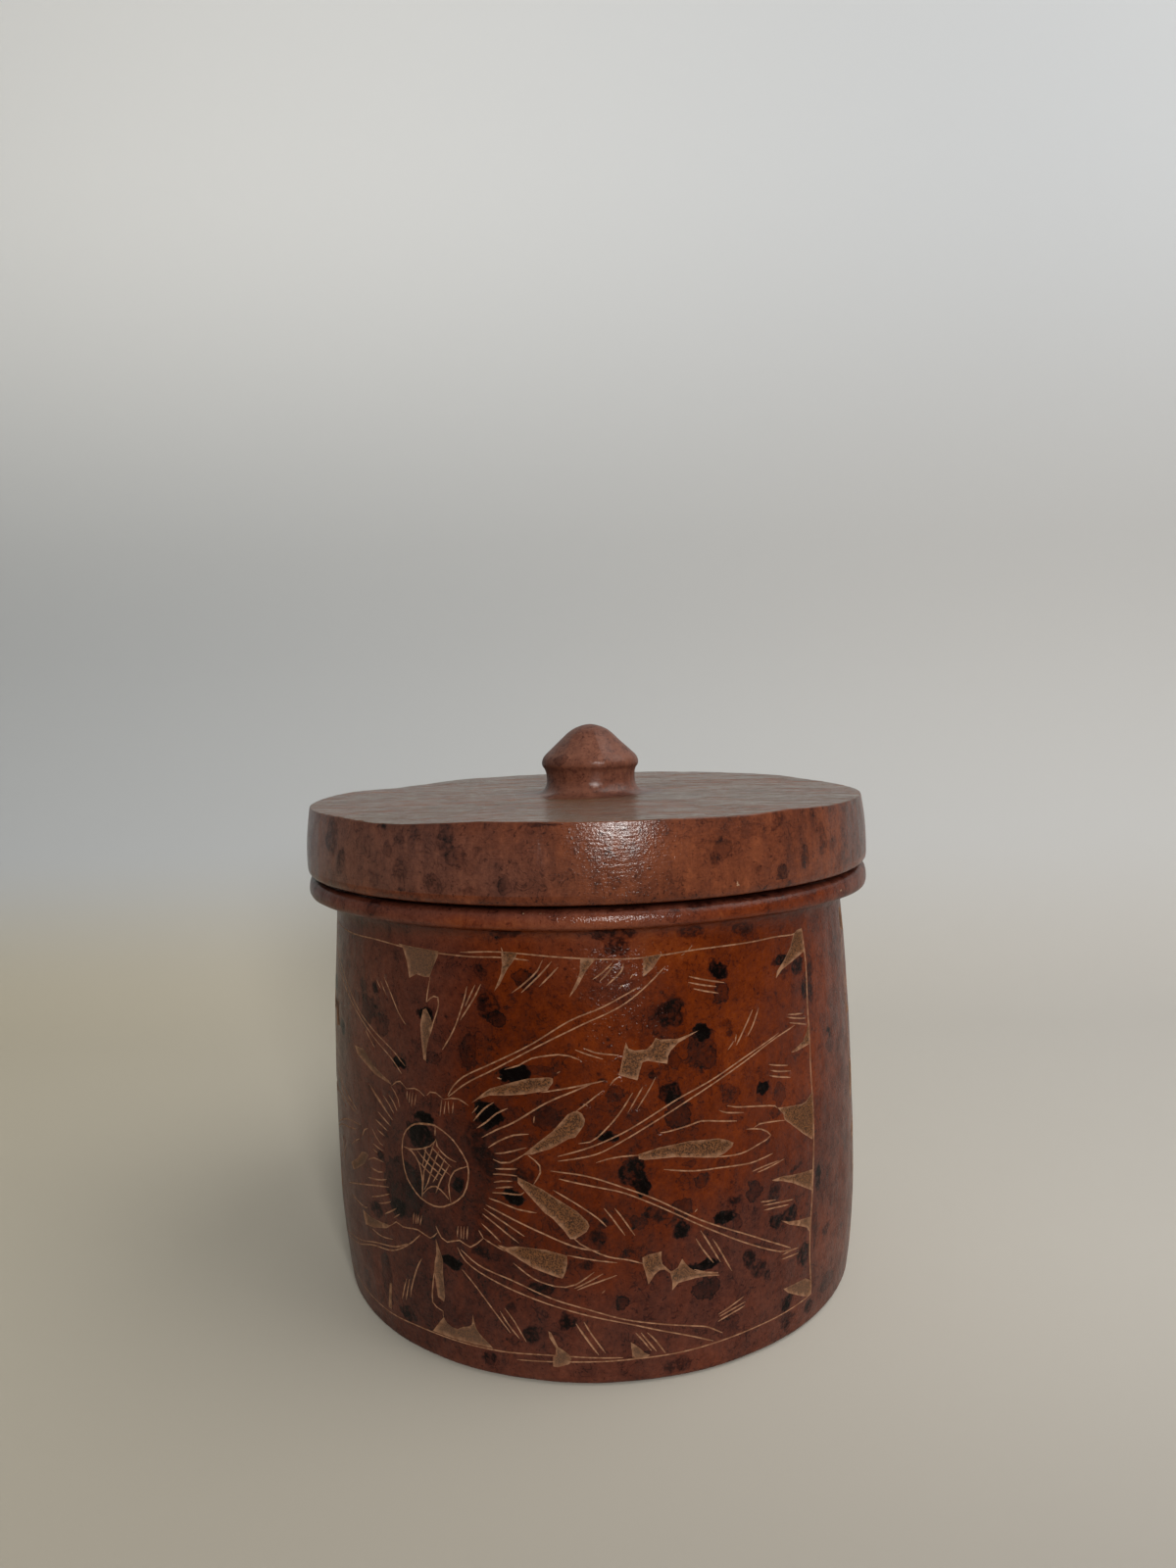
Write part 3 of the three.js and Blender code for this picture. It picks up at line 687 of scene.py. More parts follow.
def to_edges(places, start, end):
    """The distance from each place to each straight edge, and how far along the edge that is."""
    run = end - start
    away = places[:, None] - start
    share = np.clip((away * run).sum(2) / (run * run).sum(1), 0, 1)
    return np.linalg.norm(away - share[..., None] * run, axis=2), share


def inside(places, outline):
    """Whether each place is inside a closed outline."""
    x, y = places[:, 0, None], places[:, 1, None]
    (x0, y0), (x1, y1) = outline.T, np.roll(outline, -1, 0).T
    level = np.where(y1 == y0, 1e-9, y1 - y0)
    crossed = ((y0 > y) != (y1 > y)) & (x < (x1 - x0) * (y - y0) / level + x0)
    return crossed.sum(1) % 2 == 1


# The knife's lines: their widths, the share of a width left at the ends, how long they narrow for,
# and how steep their sides are. Then the scraped shapes: their depth, how far inside the outline it is
# reached, and how uneven it is. Last, how far apart the points of a line and of an outline lie.
fine_width = 0.28
ray_width = 0.31
frame_width = 0.36
tip_share = 0.3
taper_length = 1.1
knife_slope = 0.8
scrape_depth = 0.26
scrape_slope = 0.4
chatter_depth = 0.45
line_spacing = 1.5
outline_spacing = 0.9

cuts = [(line, fine_width) for line in frame_lines + heart_lines + scallops + near_stems]
cuts += [(line, fine_width) for line in far_stems + mirrored(far_stems)]
cuts += [(line, ray_width) for line in rays + near_ticks + far_ticks + mirrored(far_ticks)]
cuts += [(line, frame_width) for line in frame_side + mirrored(frame_side) + nicks]
cuts += [(heart_ring + heart_ring[:1], ray_width)]
scrapes = [np.array(shape) for shape in near_scrapes + far_scrapes + mirrored(far_scrapes)]

# Each cut becomes a strip with two edges and a bottom between them. It narrows towards its ends,
# but a closed line has none and keeps its width.
places = []
edges = []
cut_starts = []
cut_ends = []
for points, width in cuts:
    line = drawn(points, line_spacing)
    reach = length_along(line)
    run = np.gradient(line, axis=0)
    side = np.stack([-run[:, 1], run[:, 0]], 1) / np.linalg.norm(run, axis=1)[:, None]
    from_end = np.minimum(reach, reach[-1] - reach)
    half = width / 2 * np.clip(tip_share + from_end / taper_length, 0, 1)
    if points[0] == points[-1]:
        half[:] = width / 2
    first = len(places)
    for middle, out, reach_out in zip(line, side, half):
        places += [middle + out * reach_out, middle, middle - out * reach_out]
    for k in range(len(line)):
        at = first + 3 * k
        edges += [(at, at + 1), (at + 1, at + 2)]
        if k:
            edges += [(at - 3, at), (at - 2, at + 1), (at - 1, at + 2)]
    sized = np.column_stack([line, half])
    cut_starts.append(sized[:-1])
    cut_ends.append(sized[1:])
cut_starts = np.vstack(cut_starts)
cut_ends = np.vstack(cut_ends)


def beyond_cuts(spots):
    """How far each place lies outside the nearest cut, and less than nothing inside one."""
    batch = 1500
    nearest = []
    for some in np.array_split(spots, max(1, len(spots) // batch)):
        away, share = to_edges(some, cut_starts[:, :2], cut_ends[:, :2])
        half = cut_starts[:, 2] + share * (cut_ends[:, 2] - cut_starts[:, 2])
        nearest.append((away - half).min(1))
    return np.concatenate(nearest)


def into_scrapes(spots):
    """How far each place lies inside a scraped shape, and less than nothing outside all of them."""
    far_outside = -9.0
    margin = 2
    deepest = np.full(len(spots), far_outside)
    for shape in scrapes:
        near = ((spots > shape.min(0) - margin) & (spots < shape.max(0) + margin)).all(1)
        if near.any():
            away = to_edges(spots[near], shape, np.roll(shape, -1, 0))[0].min(1)
            away[~inside(spots[near], shape)] *= -1
            deepest[near] = np.maximum(deepest[near], away)
    return deepest


for shape in scrapes:
    outline = []
    for here, there in zip(shape, np.roll(shape, -1, 0)):
        parts = max(1, round(np.linalg.norm(there - here) / outline_spacing))
        outline += [here + (there - here) * k / parts for k in range(parts)]
    first = len(places)
    places += outline
    edges += [(first + k, first + (k + 1) % len(outline)) for k in range(len(outline))]

# Between the cuts the wall is an even net of points, and a finer, uneven one where the knife has
# scraped. Both stay a little off the cuts and the outlines.
wall_column = 1.15
wall_row = wall_column * 0.9
rough_spacing = 0.75
rough_wander = 0.25
net_off_cuts = 0.45
net_off_scrapes = 0.4
rough_off_cuts = 0.25
rough_off_outline = 0.28
rough_left, rough_right = -118, 52
rough_low, rough_high = 3.8, 85
chance = np.random.default_rng(7)
columns = round(half_turn / wall_column)
net_x = np.linspace(panel_left, panel_right, columns + 1)
net_z = np.linspace(foot_rounding, neck_top, round((neck_top - foot_rounding) / wall_row) + 1)
half_column = (panel_right - panel_left) / columns / 2
net = np.array(
    [
        (x + half_column * (k % 2) * (0 < i < columns - 1), z)
        for k, z in enumerate(net_z)
        for i, x in enumerate(net_x)
        if 0 < k < len(net_z) - 1 and 0 < i < columns
    ]
)
net = net[(beyond_cuts(net) > net_off_cuts) & (into_scrapes(net) < -net_off_scrapes)]
rough_x = np.arange(rough_left, rough_right, rough_spacing)
rough_z = np.arange(rough_low, rough_high, rough_spacing)
rough = np.array([(x, z) for x in rough_x for z in rough_z])
rough += chance.uniform(-rough_wander, rough_wander, rough.shape)
rough = rough[into_scrapes(rough) > rough_off_outline]
rough = rough[beyond_cuts(rough) > rough_off_cuts]
border = [(x, z) for x in (panel_left, panel_right) for z in net_z]
border += [(x, z) for x in net_x[1:-1] for z in (foot_rounding, neck_top)]
places = np.vstack([places, net, rough, border])
made = delaunay_2d_cdt([tuple(p) for p in places], edges, [], 0, 1e-5)
wall_points = np.array([tuple(p) for p in made[0]])
wall_faces = np.array(made[2])
centres = wall_points[wall_faces].mean(1)
wall_bare = (beyond_cuts(centres) < 0) | (into_scrapes(centres) > 0)


def eased(share):
    """A share held between 0 and 1, with a soft start and a soft end."""
    share = np.clip(share, 0, 1)
    return share**2 * (3 - 2 * share)


cut_points = np.unique(wall_faces[wall_bare])
cut_places = wall_points[cut_points]
into_shapes = into_scrapes(cut_places)
chatter = np.array([noise.noise((1.1 * s, 0.7 * z, 4)) for s, z in cut_places])
wall_depth = np.zeros(len(wall_points))
wall_depth[cut_points] = np.maximum(
    knife_slope * np.clip(-beyond_cuts(cut_places), 0, 1),
    scrape_depth * eased(into_shapes / scrape_slope) * (1 + chatter_depth * chatter),
)
# A thin cut shows pale stone, and a scraped shape turns speckled just inside its outline.
least_speckled = 0.15
speckled_within = 0.35
wall_scraped = np.zeros(len(wall_points))
wall_scraped[cut_points] = np.clip(least_speckled + into_shapes / speckled_within, 0, 1)
# A height that no drop or stain reaches, for the places that get none.
out_of_reach = 999


def round_by(across, spots, radius):
    """How far round the stone each place lies from each spot, measured at the place's own radius."""
    whole_turn = 2 * half_turn
    away = (across[:, None] - spots[:, 0] + half_turn) % whole_turn - half_turn
    return away * radius[:, None] / unroll_radius


def ink_at(across, up, radius, drops):
    """How far each place is outside the nearest drop of dye, in millimetres, and how dark the drop is."""
    far_enough = 4
    drops = np.array(drops)
    sideways = round_by(across, drops, radius) / drops[:, 2]
    upwards = (up[:, None] - drops[:, 1]) / drops[:, 3]
    edge = (np.hypot(sideways, upwards) - 1) * np.sqrt(drops[:, 2] * drops[:, 3])
    nearest = edge.argmin(1)
    return np.clip(edge.min(1), -far_enough, far_enough), drops[nearest, 4]


def soaked(across, up, radius, soaks):
    """How much each place has of what is laid on in soft patches."""
    soaks = np.array(soaks)
    sideways = round_by(across, soaks, radius) / soaks[:, 2]
    upwards = (up[:, None] - soaks[:, 1]) / soaks[:, 3]
    return (soaks[:, 4] * np.exp(-(sideways**2) - upwards**2)).sum(1)


def unrolled_sheet(name, across, along, faces, **details):
    """The stone's skin laid flat. Across is round the stone, along is along its section. Each detail is
    a value for every point, or for every face if it is true or false."""
    sheet = bpy.data.meshes.new(name)
    flat = np.column_stack([across * mm, along * mm, np.zeros(len(across))])
    sheet.from_pydata(flat.tolist(), [], faces)
    for detail, values in details.items():
        kind, domain = ("BOOLEAN", "FACE") if values.dtype == bool else ("FLOAT", "POINT")
        sheet.attributes.new(detail, kind, domain).data.foreach_set("value", values)
    bare = details["bare"]
    sides = np.zeros(len(sheet.loops), int)
    sheet.loops.foreach_get("edge_index", sides)
    totals = np.zeros(len(sheet.polygons), int)
    sheet.polygons.foreach_get("loop_total", totals)
    bare_sides = np.bincount(sides, np.repeat(bare, totals), len(sheet.edges))
    all_sides = np.bincount(sides, minlength=len(sheet.edges))
    crisp = (bare_sides > 0) & (bare_sides < all_sides)
    sheet.attributes.new("sharp_edge", "BOOLEAN", "EDGE").data.foreach_set("value", crisp)
    flat_piece = bpy.data.objects.new(name, sheet)
    bpy.context.scene.collection.objects.link(flat_piece)
    return flat_piece


def quads(first, wide, tall):
    """The faces of a net of points, wide by tall, from its first point."""
    return [
        (a, a + 1, a + wide + 1, a + wide)
        for k in range(tall - 1)
        for a in range(first + k * wide, first + k * wide + wide - 1)
    ]


# The whole skin: the wall's front half, the same drawing turned over for the back half, and then the
# even rows of the foot under it and of the neck, rim and hollow above it. The foot's rounding, the
# neck and the seat start or end at these points of the section.
foot_end, neck_start, seat_end = 11, 31, 62
jar_length = length_along(jar_section)
wall_reach = jar_length[foot_end : neck_start + 1]
wall_start, wall_end = wall_reach[0], wall_reach[-1]
wall_along = np.interp(wall_points[:, 1], jar_section[foot_end : neck_start + 1, 1], wall_reach)
across = [wall_points[:, 0], 2 * panel_right - wall_points[:, 0]]
along = [wall_along, wall_along]
depth = [wall_depth, wall_depth]
scraped = [wall_scraped, wall_scraped]
faces = wall_faces.tolist() + (wall_faces[:, ::-1] + len(wall_points)).tolist()
bare = [wall_bare, wall_bare]
rows = rows_along(jar_section, jar_row_spacing)
ring_x = np.concatenate([net_x, 2 * panel_right - net_x[-2::-1]])
for part in (rows[rows <= wall_start + 1e-6], rows[rows >= wall_end - 1e-6]):
    faces += quads(sum(len(a) for a in across), len(ring_x), len(part))
    across.append(np.tile(ring_x, len(part)))
    along.append(np.repeat(part, len(ring_x)))
    depth.append(np.zeros(len(ring_x) * len(part)))
    scraped.append(np.zeros(len(ring_x) * len(part)))
    bare.append(np.zeros((len(ring_x) - 1) * (len(part) - 1), bool))
across = np.concatenate(across)
along = np.concatenate(along)
radius = np.interp(along, jar_length, jar_section[:, 0])
height = np.interp(along, jar_length, jar_section[:, 1])
outside = along < jar_length[seat_end]
on_seat = np.where(height > jar_height - 0.1, np.clip(seat_edge - radius, 0, None), 0)
up_wall = np.where(outside, height + on_seat, out_of_reach)
seen_across = np.where(across > panel_right, 2 * panel_right - across + back_drop_shift, across)
drop_edge, drop_ink = ink_at(seen_across, up_wall, radius, jar_drops)
ring_edge, ring_ink = ink_at(seen_across, up_wall, radius, jar_rings)
turns, falls = np.array(rim_falls).T
fall = np.interp(np.degrees(across / unroll_radius), turns, falls, period=360)
fall *= np.interp(height, rim_fall_heights, [0, 1, 1, 0]) * outside
face_along = np.array([along[list(face)].mean() for face in faces])
jar_sheet = unrolled_sheet(
    "jar_stone",
    across,
    along,
    faces,
    bare=np.concatenate(bare),
    inner=face_along > jar_length[seat_end],
    cut_depth=np.concatenate(depth) * mm,
    scraped=np.concatenate(scraped),
    lift=-fall * mm,
    shift=foot_lean * (1 - height / jar_height) * mm,
    drop_edge=drop_edge,
    drop_ink=drop_ink,
    ring_edge=ring_edge,
    ring_ink=ring_ink,
    soak=soaked(seen_across, up_wall, radius, jar_soaks_and_painted_light),
    wash=soaked(seen_across, up_wall, radius, jar_plum_and_sheen),
    chip=soaked(across, up_wall, radius, jar_chips),
)


# The way from the flat skin to the stone. Geometry Nodes wrap the sheet round the axis along the
# section, press every cut and every tool mark into it, and close the seam and both poles.
turned = bpy.data.node_groups.new("turned_stone", "GeometryNodeTree")
turned.is_modifier = True
for name, kind in (
    ("Skin", "NodeSocketGeometry"),
    ("Section", "NodeSocketObject"),
    ("Unroll Radius", "NodeSocketFloat"),
    ("Chisel Depth", "NodeSocketFloat"),
    ("Chisel Width", "NodeSocketFloat"),
    ("Rasp Depth", "NodeSocketFloat"),
    ("Rasp Width", "NodeSocketFloat"),
    ("Hand", "NodeSocketFloat"),
    ("Closing Gap", "NodeSocketFloat"),
    ("Dyed Stone", "NodeSocketMaterial"),
    ("Bare Stone", "NodeSocketMaterial"),
    ("Inner Stone", "NodeSocketMaterial"),
):
    turned.interface.new_socket(name, in_out="INPUT", socket_type=kind)
turned.interface.new_socket("Stone", in_out="OUTPUT", socket_type="NodeSocketGeometry")
given = put(turned, "NodeGroupInput").outputs


def detail_of(name, kind="FLOAT"):
    return put(turned, "GeometryNodeInputNamedAttribute", {"Name": name}, data_type=kind).outputs[0]


def moved(place, step):
    return put(turned, "ShaderNodeVectorMath", {0: place, 1: step}, operation="ADD").outputs[0]


def then(geometry, kind, feeds=(), **settings):
    """The geometry after one more step."""
    return put(turned, kind, {"Geometry": geometry, **dict(feeds)}, **settings).outputs[0]


skin_place = put(turned, "GeometryNodeInputPosition").outputs[0]
flat_place = put(turned, "ShaderNodeSeparateXYZ", {0: skin_place}).outputs
section_curve = put(turned, "GeometryNodeObjectInfo", {"Object": given["Section"]}).outputs["Geometry"]
on_section = put(
    turned,
    "GeometryNodeSampleCurve",
    {"Curves": section_curve, "Length": flat_place["Y"]},
    mode="LENGTH",
    use_all_curves=True,
).outputs
reach = put(turned, "ShaderNodeSeparateXYZ", {0: on_section["Position"]}).outputs
heading = put(turned, "ShaderNodeSeparateXYZ", {0: on_section["Tangent"]}).outputs
angle = work_out(turned, "DIVIDE", flat_place["X"], given["Unroll Radius"])
sine = work_out(turned, "SINE", angle)
front = times(turned, work_out(turned, "COSINE", angle), -1.0)
round_feeds = {0: times(turned, reach["X"], sine), 1: times(turned, reach["X"], front), 2: reach["Z"]}
round_place = put(turned, "ShaderNodeCombineXYZ", round_feeds).outputs[0]
# Close to the axis the skin is pressed up or down only, so that each pole stays one point.
off_axis = work_out(turned, "MINIMUM", work_out(turned, "DIVIDE", reach["X"], 1 * mm), 1.0)
sideways = times(turned, heading["Z"], off_axis)
out_feeds = {0: times(turned, sideways, sine), 1: times(turned, sideways, front)}
out_feeds[2] = times(turned, heading["X"], -1.0)
outwards = put(turned, "ShaderNodeCombineXYZ", out_feeds).outputs[0]
pressed = detail_of("cut_depth")
for depth_name, width_name in (("Chisel Depth", "Chisel Width"), ("Rasp Depth", "Rasp Width")):
    closeness = work_out(turned, "DIVIDE", 1.0, given[width_name])
    marking = {"Vector": round_place, "W": given["Hand"], "Scale": closeness, "Detail": 1.0}
    marks = put(turned, "ShaderNodeTexNoise", marking, noise_dimensions="4D").outputs["Fac"]
    pressed = work_out(turned, "MULTIPLY_ADD", marks, given[depth_name], pressed)
press_feeds = {0: outwards, "Scale": times(turned, pressed, -1.0)}
pressing = put(turned, "ShaderNodeVectorMath", press_feeds, operation="SCALE").outputs[0]
by_eye = put(turned, "ShaderNodeCombineXYZ", {0: detail_of("shift"), 2: detail_of("lift")}).outputs[0]
carved_place = moved(moved(round_place, pressing), by_eye)
stone = then(given["Skin"], "GeometryNodeSetPosition", {"Position": carved_place})
stone = then(stone, "GeometryNodeMergeByDistance", {"Distance": given["Closing Gap"]})
stone = then(stone, "GeometryNodeSetShadeSmooth", domain="FACE")
stone = then(stone, "GeometryNodeRealizeInstances")
stone = then(stone, "GeometryNodeSetMaterial", {"Material": given["Dyed Stone"]})
for chosen, finish in (("inner", "Inner Stone"), ("bare", "Bare Stone")):
    painting = {"Selection": detail_of(chosen, "BOOLEAN"), "Material": given[finish]}
    stone = then(stone, "GeometryNodeSetMaterial", painting)
put(turned, "NodeGroupOutput", {0: stone})


def wrap_stone(skin, section, chisel_depth, dyed_finish, bare_finish, inner_finish, hand):
    """Wraps a flat skin along its section into the finished stone, as a plain mesh."""
    line = bpy.data.curves.new(skin.name + "_section", "CURVE")
    line.dimensions = "3D"
    run = line.splines.new("POLY")
    run.points.add(len(section) - 1)
    for point, (r, z) in zip(run.points, section):
        point.co = (r * mm, 0, z * mm, 1)
    guide = bpy.data.objects.new(skin.name + "_section", line)
    bpy.context.scene.collection.objects.link(guide)
    wrapping = skin.modifiers.new("turned_stone", "NODES")
    wrapping.node_group = turned
    values = {
        "Section": guide,
        "Unroll Radius": unroll_radius * mm,
        "Chisel Depth": chisel_depth,
        "Chisel Width": 17 * mm,
        "Rasp Depth": 0.05 * mm,
        "Rasp Width": 3.2 * mm,
        "Hand": hand,
        "Closing Gap": 0.012 * mm,
        "Dyed Stone": dyed_finish,
        "Bare Stone": bare_finish,
        "Inner Stone": inner_finish,
    }
    for item in turned.interface.items_tree:
        if item.in_out == "INPUT" and item.name in values:
            wrapping[item.identifier] = values[item.name]
    bpy.context.view_layer.update()
    finished = bpy.data.meshes.new_from_object(skin.evaluated_get(bpy.context.evaluated_depsgraph_get()))
    skin.modifiers.remove(wrapping)
    finished.name = skin.name
    skin.data = finished
    bpy.data.objects.remove(guide)


def noise_of(tree, place, size, detail=2.0, roughness=0.5):
    """Cloudy noise whose lumps are about that size."""
    feeds = {"Vector": place, "Scale": 1 / size, "Detail": detail, "Roughness": roughness}
    return put(tree, "ShaderNodeTexNoise", feeds).outputs["Fac"]


def stretched(tree, place, x, y, z):
    """The same place on a stone drawn out or squeezed along each axis."""
    return put(tree, "ShaderNodeMapping", {"Vector": place, "Scale": (x, y, z)}).outputs[0]


def attribute_of(tree, name):
    return put(tree, "ShaderNodeAttribute", attribute_name=name).outputs["Fac"]


def weighed(tree, start, *parts):
    """A start value plus each part times its weight."""
    total = start
    for value, weight in parts:
        total = work_out(tree, "MULTIPLY_ADD", value, weight, total)
    return total


def dye_colour(tree, thickness, shades):
    """The colour of the dye on the stone, from where it lies thin to where it lies thick."""
    ramp = put(tree, "ShaderNodeValToRGB", {0: thickness})
    stops = ramp.color_ramp.elements
    for _ in shades[2:]:
        stops.new(0.5)
    for k, (stop, shade) in enumerate(zip(stops, shades)):
        stop.position = k / (len(shades) - 1)
        stop.color = shade
    return ramp.outputs[0]


def relief(tree, height, depth, strength=0.5):
    """Relief too fine for the mesh. It shows in the light on the stone."""
    feeds = {"Strength": strength, "Distance": depth, "Height": height}
    return put(tree, "ShaderNodeBump", feeds).outputs[0]


def dyed_stone(name, brown, plum, brush, streaks, scratches, varnish):
    """Dye under varnish, between two sets of shades. Brush and scratches are how far each kind of stroke
    is drawn out, and streaks is how much of the dye's unevenness is brush strokes."""
    finish, surface, join = new_material(name)
    tree = finish.node_tree
    place = put(tree, "ShaderNodeTexCoord").outputs["Object"]
    cloud = noise_of(tree, place, 15 * mm, 3.0)
    mottle = noise_of(tree, place, 4.2 * mm, 4.0, 0.65)
    lumps = noise_of(tree, place, 2.6 * mm, 2.0)
    blotch = noise_of(tree, place, 1.1 * mm, 3.0, 0.6)
    flecks = noise_of(tree, place, 0.9 * mm, 3.0, 0.7)
    grain = noise_of(tree, place, 0.46 * mm, 2.0)
    strokes = noise_of(tree, stretched(tree, place, *brush), 2 * mm, 4.0, 0.65)
    lines = noise_of(tree, stretched(tree, place, *scratches), 0.5 * mm, 3.0, 0.65)

    # The drops have uneven outlines. The dark ones are patchy, and the faint ones have a darker rim.
    wobble = weighed(tree, -2.8, (lumps, 3.2), (blotch, 2.4))
    ring_edge = weighed(tree, wobble, (attribute_of(tree, "ring_edge"), 1.0))
    ring_ink = attribute_of(tree, "ring_ink")
    pool = times(tree, fade(tree, ring_edge, 0.3, -0.3), ring_ink)
    rim = times(tree, fade(tree, work_out(tree, "ABSOLUTE", ring_edge), 0.26, 0.05), ring_ink)
    drop_edge = weighed(tree, wobble, (attribute_of(tree, "drop_edge"), 1.0))
    drop = times(tree, fade(tree, drop_edge, 0.35, -0.35), attribute_of(tree, "drop_ink"))
    patchy = times(tree, drop, fade(tree, blotch, 0.38, 0.58, 0.45, 1.0))
    # Here and there the dye dried in thin curled lines.
    bends = put(tree, "ShaderNodeTexNoise", {"Vector": place, "Scale": 1 / (3 * mm), "Distortion": 1.2})
    off_line = work_out(tree, "ABSOLUTE", work_out(tree, "SUBTRACT", bends.outputs["Fac"], 0.5))
    curls = times(tree, fade(tree, off_line, 0.03, 0.006), fade(tree, mottle, 0.46, 0.58))
    stains = weighed(tree, 0.02, (pool, 0.48), (rim, 0.5), (patchy, 1.1), (curls, 0.18))
    stains = weighed(tree, stains, (times(tree, drop, drop), 0.2))

    # The dye's own unevenness. It is thinner where the lid's top was rasped, and stone dust stays there,
    # whose grey also stands for part of the flat top's sheen as painted sheen.
    rasped = attribute_of(tree, "rasped")
    rasp = noise_of(tree, stretched(tree, place, 0.2, 1, 1), 3 * mm, 5.0, 0.75)
    rasp_marks = times(tree, rasp, rasped)
    uneven = weighed(tree, -0.49, (cloud, 0.45), (blotch, 0.4), (grain, 0.2), (mottle, 0.65 - streaks))
    uneven = weighed(tree, uneven, (strokes, streaks), (fade(tree, flecks, 0.6, 0.67), 0.25))
    # The soaked places and plum washes also carry painted light: painted sheen on the sides, painted
    # highlight haze under the rim, and painted shade on the lid's right edge.
    thickness = weighed(tree, uneven, (stains, 1.0), (attribute_of(tree, "soak"), 1.0))
    thickness = weighed(tree, thickness, (rasp_marks, 1.0), (rasped, -0.5))
    plum_and_sheen_level = weighed(tree, -0.4, (cloud, 0.8), (attribute_of(tree, "wash"), 1.0))
    brown_dye = dye_colour(tree, thickness, brown)
    plum_dye = dye_colour(tree, thickness, plum)
    dye = blend(tree, fade(tree, plum_and_sheen_level, 0.1, 0.8), brown_dye, plum_dye)
    # Stone dust on the rasped top, also a painted sheen: its grey stands for part of the reflection the
    # flat top shows.
    dust_and_sheen = times(tree, fade(tree, rasp, 0.38, 0.62, 0.2, 0.65), rasped)
    dye = blend(tree, dust_and_sheen, dye, srgb(98, 80, 57))
    chipped = weighed(tree, -0.8, (attribute_of(tree, "chip"), 1.0), (blotch, 0.8), (grain, 0.8))
    dye = blend(tree, fade(tree, chipped, 0.55, 0.7), dye, srgb(150, 120, 94))
    join(dye, surface.inputs["Base Color"])
    join(fade(tree, mottle, 0.3, 0.7, 0.38, 0.52), surface.inputs["Roughness"])
    surface.inputs["IOR"].default_value = 1.09
    surface.inputs["Specular Tint"].default_value = (1.0, 0.5, 0.3, 1.0)

    height = weighed(tree, 0.0, (lines, 0.3 + streaks), (blotch, 0.3), (grain, 1.4 - 2 * streaks))
    height = weighed(tree, height, (mottle, 0.4), (rasp_marks, 9.0))
    fine_relief = relief(tree, height, 0.14 * mm, 0.7)
    join(fine_relief, surface.inputs["Normal"])
    join(fine_relief, surface.inputs["Coat Normal"])

    # The varnish is worn off in streaks, on the drops, on the knob and between the marks of the rasp.
    worn = fade(tree, strokes, 0.35, 0.65, 0.75 * varnish, 1.25 * varnish)
    worn = times(tree, worn, fade(tree, patchy, 0, 0.8, 1, 0.3))
    up_stone = put(tree, "ShaderNodeSeparateXYZ", {0: place}).outputs["Z"]
    worn = times(tree, worn, fade(tree, up_stone, 110 * mm, 113 * mm, 1, 0.55))
    on_top = times(tree, fade(tree, rasp, 0.36, 0.64, 0.05, 0.5), rasped)
    join(work_out(tree, "ADD", worn, on_top), surface.inputs["Coat Weight"])
    surface.inputs["Coat Roughness"].default_value = 0.47 * varnish - 0.06
    surface.inputs["Coat IOR"].default_value = 1.55
    return finish


def bare_stone():
    """Soapstone that the knife laid bare: speckled where it was scraped, and paler in a fresh cut."""
    finish, surface, join = new_material("bare_soapstone")
    tree = finish.node_tree
    place = put(tree, "ShaderNodeTexCoord").outputs["Object"]
    specks = noise_of(tree, place, 0.31 * mm, 2.0, 0.7)
    knife = noise_of(tree, place, 1.3 * mm, 3.0)
    stone = blend(tree, fade(tree, specks, 0.42, 0.58), srgb(46, 27, 12), srgb(109, 68, 37))
    stone = blend(tree, fade(tree, knife, 0.4, 0.65, 0, 0.4), stone, srgb(77, 47, 27))
    # Pinker where the dye is washed plum, and that wash is in places painted sheen.
    pinkish_and_sheen = fade(tree, attribute_of(tree, "wash"), 0.2, 0.9, 0, 0.5)
    stone = blend(tree, pinkish_and_sheen, stone, srgb(102, 78, 63))
    fresh_cut = blend(tree, fade(tree, knife, 0.4, 0.6), srgb(117, 79, 55), srgb(147, 108, 80))
    stone = blend(tree, attribute_of(tree, "scraped"), fresh_cut, stone)
    join(stone, surface.inputs["Base Color"])
    surface.inputs["Roughness"].default_value = 0.72
    surface.inputs["Specular IOR Level"].default_value = 0.2
    join(relief(tree, work_out(tree, "ADD", specks, knife), 0.15 * mm), surface.inputs["Normal"])
    return finish


def inner_stone():
    """Soapstone that was hollowed with a gouge, with a thin wash of dye."""
    finish, surface, join = new_material("hollowed_stone")
    tree = finish.node_tree
    place = put(tree, "ShaderNodeTexCoord").outputs["Object"]
    cloud = noise_of(tree, place, 12 * mm, 4.0)
    gouges = noise_of(tree, stretched(tree, place, 1, 1, 0.25), 1.8 * mm, 3.0, 0.6)
    grain = noise_of(tree, place, 0.6 * mm, 3.0)
    stone = blend(tree, fade(tree, cloud, 0.35, 0.65), srgb(92, 47, 28), srgb(70, 36, 24))
    stone = blend(tree, fade(tree, gouges, 0.45, 0.7, 0, 0.45), stone, srgb(52, 27, 19))
    stone = blend(tree, fade(tree, grain, 0.55, 0.75, 0, 0.4), stone, srgb(112, 74, 50))
    join(stone, surface.inputs["Base Color"])
    join(fade(tree, gouges, 0.3, 0.7, 0.55, 0.72), surface.inputs["Roughness"])
    height = work_out(tree, "MULTIPLY_ADD", grain, 0.4, gouges)
    join(relief(tree, height, 0.25 * mm), surface.inputs["Normal"])
    return finish


